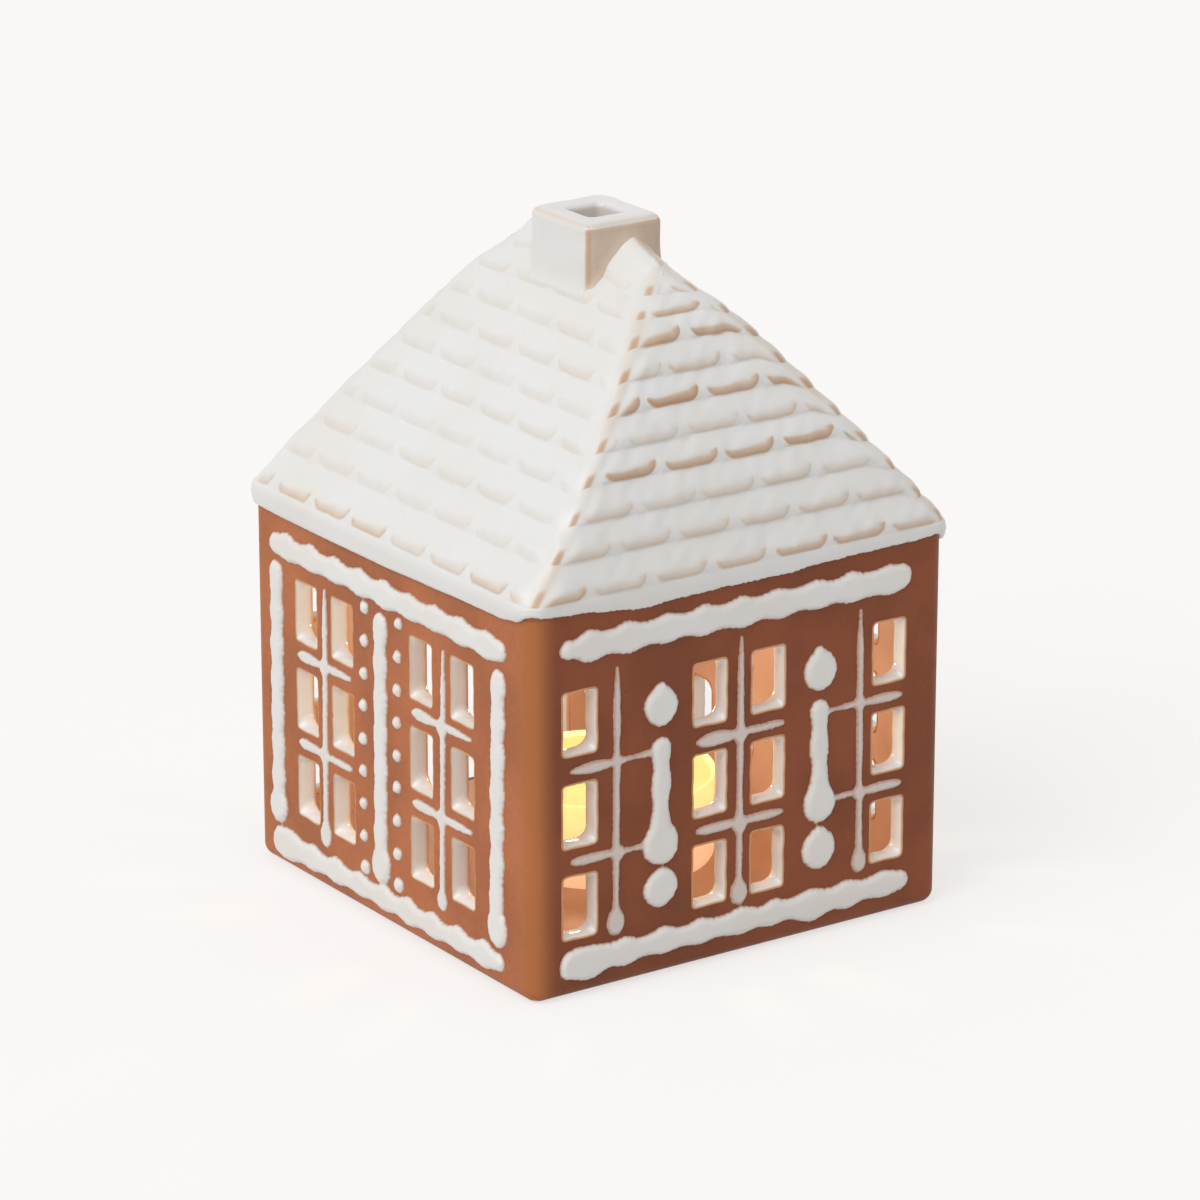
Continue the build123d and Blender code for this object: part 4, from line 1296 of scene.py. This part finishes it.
# %% [markdown]
# The doorway is lined like the windows, by the same walk through the wall, but along an arch. The
# walk is carried along a path: up one jamb, round the half circle and down the other. At every
# point the path's own sideways direction says where out is.

# %% Line the doorway
DOOR_HALF, DOOR_SPRING = 21.0, 17.0


def line_doorway():
    """The liner's walk swept along the door's outline, ended at the floor."""
    jamb = np.linspace(floor_top - 0.6, DOOR_SPRING, 30)
    turn = np.linspace(0, math.pi, 90)[1:-1]
    ones, zeros = np.ones(len(jamb)), np.zeros(len(jamb))
    side_x = np.concatenate([ones, np.cos(turn), -ones])
    side_z = np.concatenate([zeros, np.sin(turn), zeros])
    x = DOOR_HALF * side_x
    z = np.concatenate([jamb, DOOR_SPRING + DOOR_HALF * np.sin(turn), jamb[::-1]])
    wobble = 0.06 * ripple(x, z + 2 * walk_height, 5.0, 83)
    across = x + (walk_out + wobble) * side_x
    level = z + (walk_out + wobble) * side_z
    points = onto_wall("back", across, level, walk_height)
    faces = ring_faces(*across.shape, closed=True).reshape(*across.shape, 4)
    films = np.clip(walk_thin * (1 + 2 * wobble), 0, 1)
    make_piece("door_lining", points, faces[:, :-1].reshape(-1, 4), window_white,
               stands_for=["door_glaze"], thin=films)


line_doorway()

# %% [markdown]
# The tealight burns in a clear cup. Lit from inside, the wax glows: bright yellow in the molten
# pool, paler at the side. The glow is in the shaders of wax and cup as a weak light of their own,
# that grows with the height above the table, and a small lamp near the flame lights the room.

# %% Wax and cup finishes


def glowing(tree, shader, place, low, high, dim, bright, strength):
    """Light of its own: goes from dim to bright as Z goes from low to high, in metres."""
    level = add_node(tree, "SeparateXYZ", {0: place}).outputs["Z"]
    fill(tree, shader, {"Emission Strength": strength, "Emission Color": mix_colours(
        tree, to_range(tree, level, low, high), dim, bright)})


def make_wax():
    """Milky wax that glows more towards the pool and the flame."""
    material, tree, shader, place, marks = fired_material("wax")
    drift = to_range(tree, marks["Drift"], 0.3, 0.7)
    fill(tree, shader, {"Roughness": 0.35, "Base Color": mix_colours(
        tree, drift, (0.34, 0.29, 0.14), (0.38, 0.33, 0.17))})
    glowing(tree, shader, place, low=0.010, high=0.0195, dim=(0.77, 0.47, 0.24),
            bright=(1.0, 0.76, 0.22), strength=0.64)
    return material


def make_cup():
    """Clear moulded cup with a milky glow, from the wax's light caught in its wall."""
    material, tree, shader, place, marks = fired_material("clear_cup")
    fill(tree, shader, {
        "Base Color": (0.80, 0.66, 0.50), "Transmission Weight": 0.45, "IOR": 1.49,
        "Roughness": to_range(tree, marks["Drift"], 0.3, 0.7, 0.29, 0.38)})
    glowing(tree, shader, place, low=0.008, high=0.019, dim=(0.66, 0.43, 0.27),
            bright=(1.0, 0.76, 0.30), strength=0.52)
    return material


wax_finish, cup_finish = make_wax(), make_cup()
print("wax and cup finished")

# %% [markdown]
# Cup, wax and flame are round, so each is a profile of radii and levels, turned round the wick. The
# cup's profile goes round its foot ring, up the wall, over the rolled rim, and down the inside. The
# wax climbs a little at the wall and at the wick, as a liquid does, and is dished between.

# %% Turn the tealight
cup_low, cup_high = box_mm("tealight_cup")
cup_middle = (cup_low + cup_high) / 2
CUP_RADIUS = (cup_high[0] - cup_low[0]) / 2
CUP_WALL = 0.5
AXIS = 0.01         # radius of the tiny ring that a profile starts and ends in, welded to a point


def turned(profile, count=96):
    """Surface of a profile of (radius, level) turned round the tealight's upright line."""
    around = np.linspace(0, 2 * math.pi, count, endpoint=False)
    radius, level = np.array(profile, float).T[:, :, None]
    x = cup_middle[0] + radius * np.cos(around)
    y = cup_middle[1] + radius * np.sin(around)
    return np.stack(np.broadcast_arrays(x, y, level), -1)


def make_turned(name, points, finish, reach, stands_for=()):
    """Piece of a turned surface that goes with the tealight, its ends welded to points."""
    weld(make_piece(name, points, ring_faces(*points.shape[:2]), finish, body="tealight",
                    stands_for=stands_for), reach)


def turn_cup():
    """Foot ring, upright wall with a rolled rim, and the inside again, all one closed profile."""
    low, high = cup_low[2], cup_high[2]
    foot_radius = CUP_RADIUS - 0.25
    profile = [(AXIS, low + 0.35), (CUP_RADIUS - 4, low + 0.35), (CUP_RADIUS - 3.2, low),
               (CUP_RADIUS - 1.2, low), (CUP_RADIUS - 0.55, low + 0.18), (foot_radius, low + 0.7)]
    profile += [(foot_radius + 0.1 * share, low + 0.7 + (high - low - 1.6) * share)
                for share in np.linspace(0.1, 1, 8)]
    profile += [(CUP_RADIUS - 0.02, high - 0.6), (CUP_RADIUS, high - 0.3),
                (CUP_RADIUS - 0.08, high - 0.06), (CUP_RADIUS - 0.3, high),
                (CUP_RADIUS - 0.5, high - 0.15)]
    profile += [(CUP_RADIUS - CUP_WALL - 0.12, level)
                for level in np.linspace(high - 0.8, low + 1.2, 6)]
    profile += [(CUP_RADIUS - 1.2, low + 0.6), (AXIS, low + 0.55)]
    make_turned("cup", turned(profile), cup_finish, 2e-5, ["tealight_cup"])


def turn_wax():
    """Wax with an exponential rise at the wall and at the wick, and a dished pool between."""
    low, high = box_mm("wax")
    outer = CUP_RADIUS - CUP_WALL - 0.2
    start, top = low[2] + 0.12, high[2] - 0.35
    profile = [(AXIS, start), (outer - 1.0, start), (outer - 0.2, start + 0.4),
               (outer, start + 1.0)]
    profile += [(outer, level) for level in np.linspace(start + 2, high[2] - 0.25, 8)]
    side_points = len(profile)
    for share in np.linspace(0, 1, 26):
        radius = outer - 0.1 - (outer - 0.95) * share
        wall_rise = 0.35 * math.exp(-(outer - radius) / 0.5)
        pool = 0.75 * smooth_step(outer - radius, 0.8, 3.4)
        wick_rise = 0.35 * math.exp(-(radius - 0.85) / 0.5)
        profile.append((radius, top + wall_rise - pool + wick_rise))
    profile.append((AXIS, top))
    points = turned(profile)
    wave = 0.04 * ripple(points[..., 0], points[..., 1], 4.0, 251)
    points[side_points:, :, 2] += wave[side_points:]
    make_turned("wax_fill", points, wax_finish, 3e-5, ["wax"])


turn_cup()
turn_wax()

# %% [markdown]
# The wick is a plaited cord, burnt black at its tip, and its foot is pressed sheet. Both solids
# stay, and get their finishes here.

# %% Wick and foot
wick_top = box_mm("wick")[1][2]


def make_wick():
    """Cream cotton with slanting plaits, charred upwards."""
    material, tree, shader, place, marks = fired_material("wick")
    plait = add_node(tree, "TexWave", {"Vector": place, "Scale": 600.0, "Distortion": 2.0},
                     bands_direction="DIAGONAL").outputs["Fac"]
    level = add_node(tree, "SeparateXYZ", {0: place}).outputs["Z"]
    char = to_range(tree, level, (wick_top - 6) * MM, (wick_top - 3.5) * MM)
    cotton = mix_colours(tree, plait, (0.55, 0.48, 0.34), (0.75, 0.70, 0.58))
    burnt = mix_colours(tree, marks["Grain"], (0.01, 0.01, 0.01), (0.06, 0.05, 0.04))
    bump = add_node(tree, "Bump", {"Height": plait, "Distance": 0.0001})
    fill(tree, shader, {"Base Color": mix_colours(tree, char, cotton, burnt),
                        "Normal": bump.outputs[0], "Roughness": 0.9})
    return material


def make_pressed_metal():
    """Bright tin-like sheet with fine rubbed grain."""
    material, tree, shader, _, marks = fired_material("pressed_metal")
    rough = to_range(tree, marks["Grain"], 0.3, 0.7, 0.30, 0.44)
    fill(tree, shader, {"Roughness": rough, "Base Color": (0.66, 0.66, 0.67), "Metallic": 1.0})
    return material


dress("wick", make_wick())
dress("wick_foot", make_pressed_metal())
print("the wick ends", round(wick_top, 2), "mm above the table")

# %% [markdown]
# The flame is a drop that is pale at its heart and orange at its tip: half a sine wave, with its
# belly low. The lamp that stands for its light hangs some way above it, so that the wax isn't lit
# harder than the room. Both ride on the tealight.

# %% Flame and lamp
FLAME_TALL, FLAME_HALF = 13.0, 2.6
LAMP_ABOVE, LAMP_POWER, LAMP_RADIUS = 22, 0.040, 0.005     # mm over the flame's foot, W, m
flame_foot = wick_top - 3.0


def make_flame():
    """Light of its own: blue-grey at the foot, near white in the middle, orange at the tip."""
    material, tree, shader = new_material("flame")
    place = add_node(tree, "TexCoord").outputs["Object"]
    level = add_node(tree, "SeparateXYZ", {0: place}).outputs["Z"]
    rise = to_range(tree, level, flame_foot * MM, (flame_foot + 12) * MM, smooth=False)
    ramp = add_node(tree, "ValToRGB", {"Fac": rise})
    stops = ramp.color_ramp.elements
    stops[0].color, stops[1].color = (0.16, 0.20, 0.45, 1), (1.0, 0.42, 0.08, 1)
    stops.new(0.3).color = (1.0, 0.86, 0.52, 1)
    fill(tree, shader, {
        "Emission Color": ramp.outputs["Color"], "Emission Strength": 1.1,
        "Base Color": (0.0, 0.0, 0.0), "Specular IOR Level": 0.0, "Alpha": 0.7})
    return material


def shape_flame():
    """Radius is a bent sine wave, narrower upwards; the ends are welded to points."""
    share = np.linspace(0, 1, 40)
    belly = FLAME_HALF * np.sin(math.pi * share ** 0.72) ** 0.9 * (1 - 0.35 * share)
    profile = np.stack([belly + 0.004, flame_foot + FLAME_TALL * share], -1)
    make_turned("flame", turned(profile, 32), make_flame(), 1e-5)


shape_flame()
glow = bpy.data.lights.new("flame_light", "POINT")
glow.energy = LAMP_POWER
glow.color = (1.0, 0.84, 0.63)
glow.shadow_soft_size = LAMP_RADIUS
glow_lamp = bpy.data.objects.new("flame_light", glow)
glow_lamp.location = Vector((cup_middle[0], cup_middle[1], flame_foot + LAMP_ABOVE)) * MM
bpy.context.scene.collection.objects.link(glow_lamp)
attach(glow_lamp, "tealight")
print("the flame's lamp hangs at", list(glow_lamp.location))

# %% [markdown]
# A studio sweep: a pale floor, even light from all round for the shadow side, one broad sun from
# the upper left and a weak one from overhead. Suns light near and far alike, so the floor has no
# bright patch. The floor adds a little glow for camera, mirror and glass rays only, which makes it
# white and keeps its shadow.

# %% The floor and the light from all round
FLOOR_REACH = 4.0
FLOOR_GLOW = 0.668


def white_rays(tree):
    """1 for rays from the camera, off gloss or through glass, and 0 for the light itself."""
    rays = add_node(tree, "LightPath").outputs
    seen = sums(tree, "MAXIMUM", rays["Is Camera Ray"], rays["Is Glossy Ray"])
    return sums(tree, "MAXIMUM", seen, rays["Is Transmission Ray"])


world = bpy.data.worlds.new("studio")
world.use_nodes = True
bpy.context.scene.world = world
sky = world.node_tree
fill(sky, sky.nodes["Background"], {
    "Color": mix_colours(sky, white_rays(sky), (0.55, 0.55, 0.555), (0.956, 0.939, 0.922))})

floor_mesh = bpy.data.meshes.new("studio_floor")
floor_mesh.from_pydata([(x * FLOOR_REACH, y * FLOOR_REACH, 0) for x, y in (
    (-1, -1), (1, -1), (1, 1), (-1, 1))], [], [(0, 1, 2, 3)])
studio_floor = bpy.data.objects.new("studio_floor", floor_mesh)
bpy.context.scene.collection.objects.link(studio_floor)
paper, paper_tree, paper_shader = new_material("white_paper")
seen_white = white_rays(paper_tree)
fill(paper_tree, paper_shader, {
    "Roughness": 0.9, "Specular IOR Level": 0.0, "Emission Color": (1, 0.98, 0.96),
    "Emission Strength": sums(paper_tree, "MULTIPLY", seen_white, FLOOR_GLOW),
    "Base Color": mix_colours(paper_tree, seen_white, (0.80, 0.79, 0.78), (0.30, 0.295, 0.29))})
floor_mesh.materials.append(paper)
print("floor laid")

# %% The suns


def add_sun(name, towards, strength, spread):
    """Sun whose light comes from one direction; spread is the angle of its soft disc."""
    lamp = bpy.data.lights.new(name, "SUN")
    lamp.energy = strength
    lamp.angle = math.radians(spread)
    sun = bpy.data.objects.new(name, lamp)
    sun.rotation_mode = "QUATERNION"
    sun.rotation_quaternion = Vector(towards).to_track_quat("Z", "Y")
    bpy.context.scene.collection.objects.link(sun)


add_sun("key_sun", towards=(-0.71, -0.14, 0.69), strength=1.52, spread=45)
add_sun("top_sun", towards=(0.05, -0.20, 1.0), strength=0.26, spread=60)
print("studio lit")
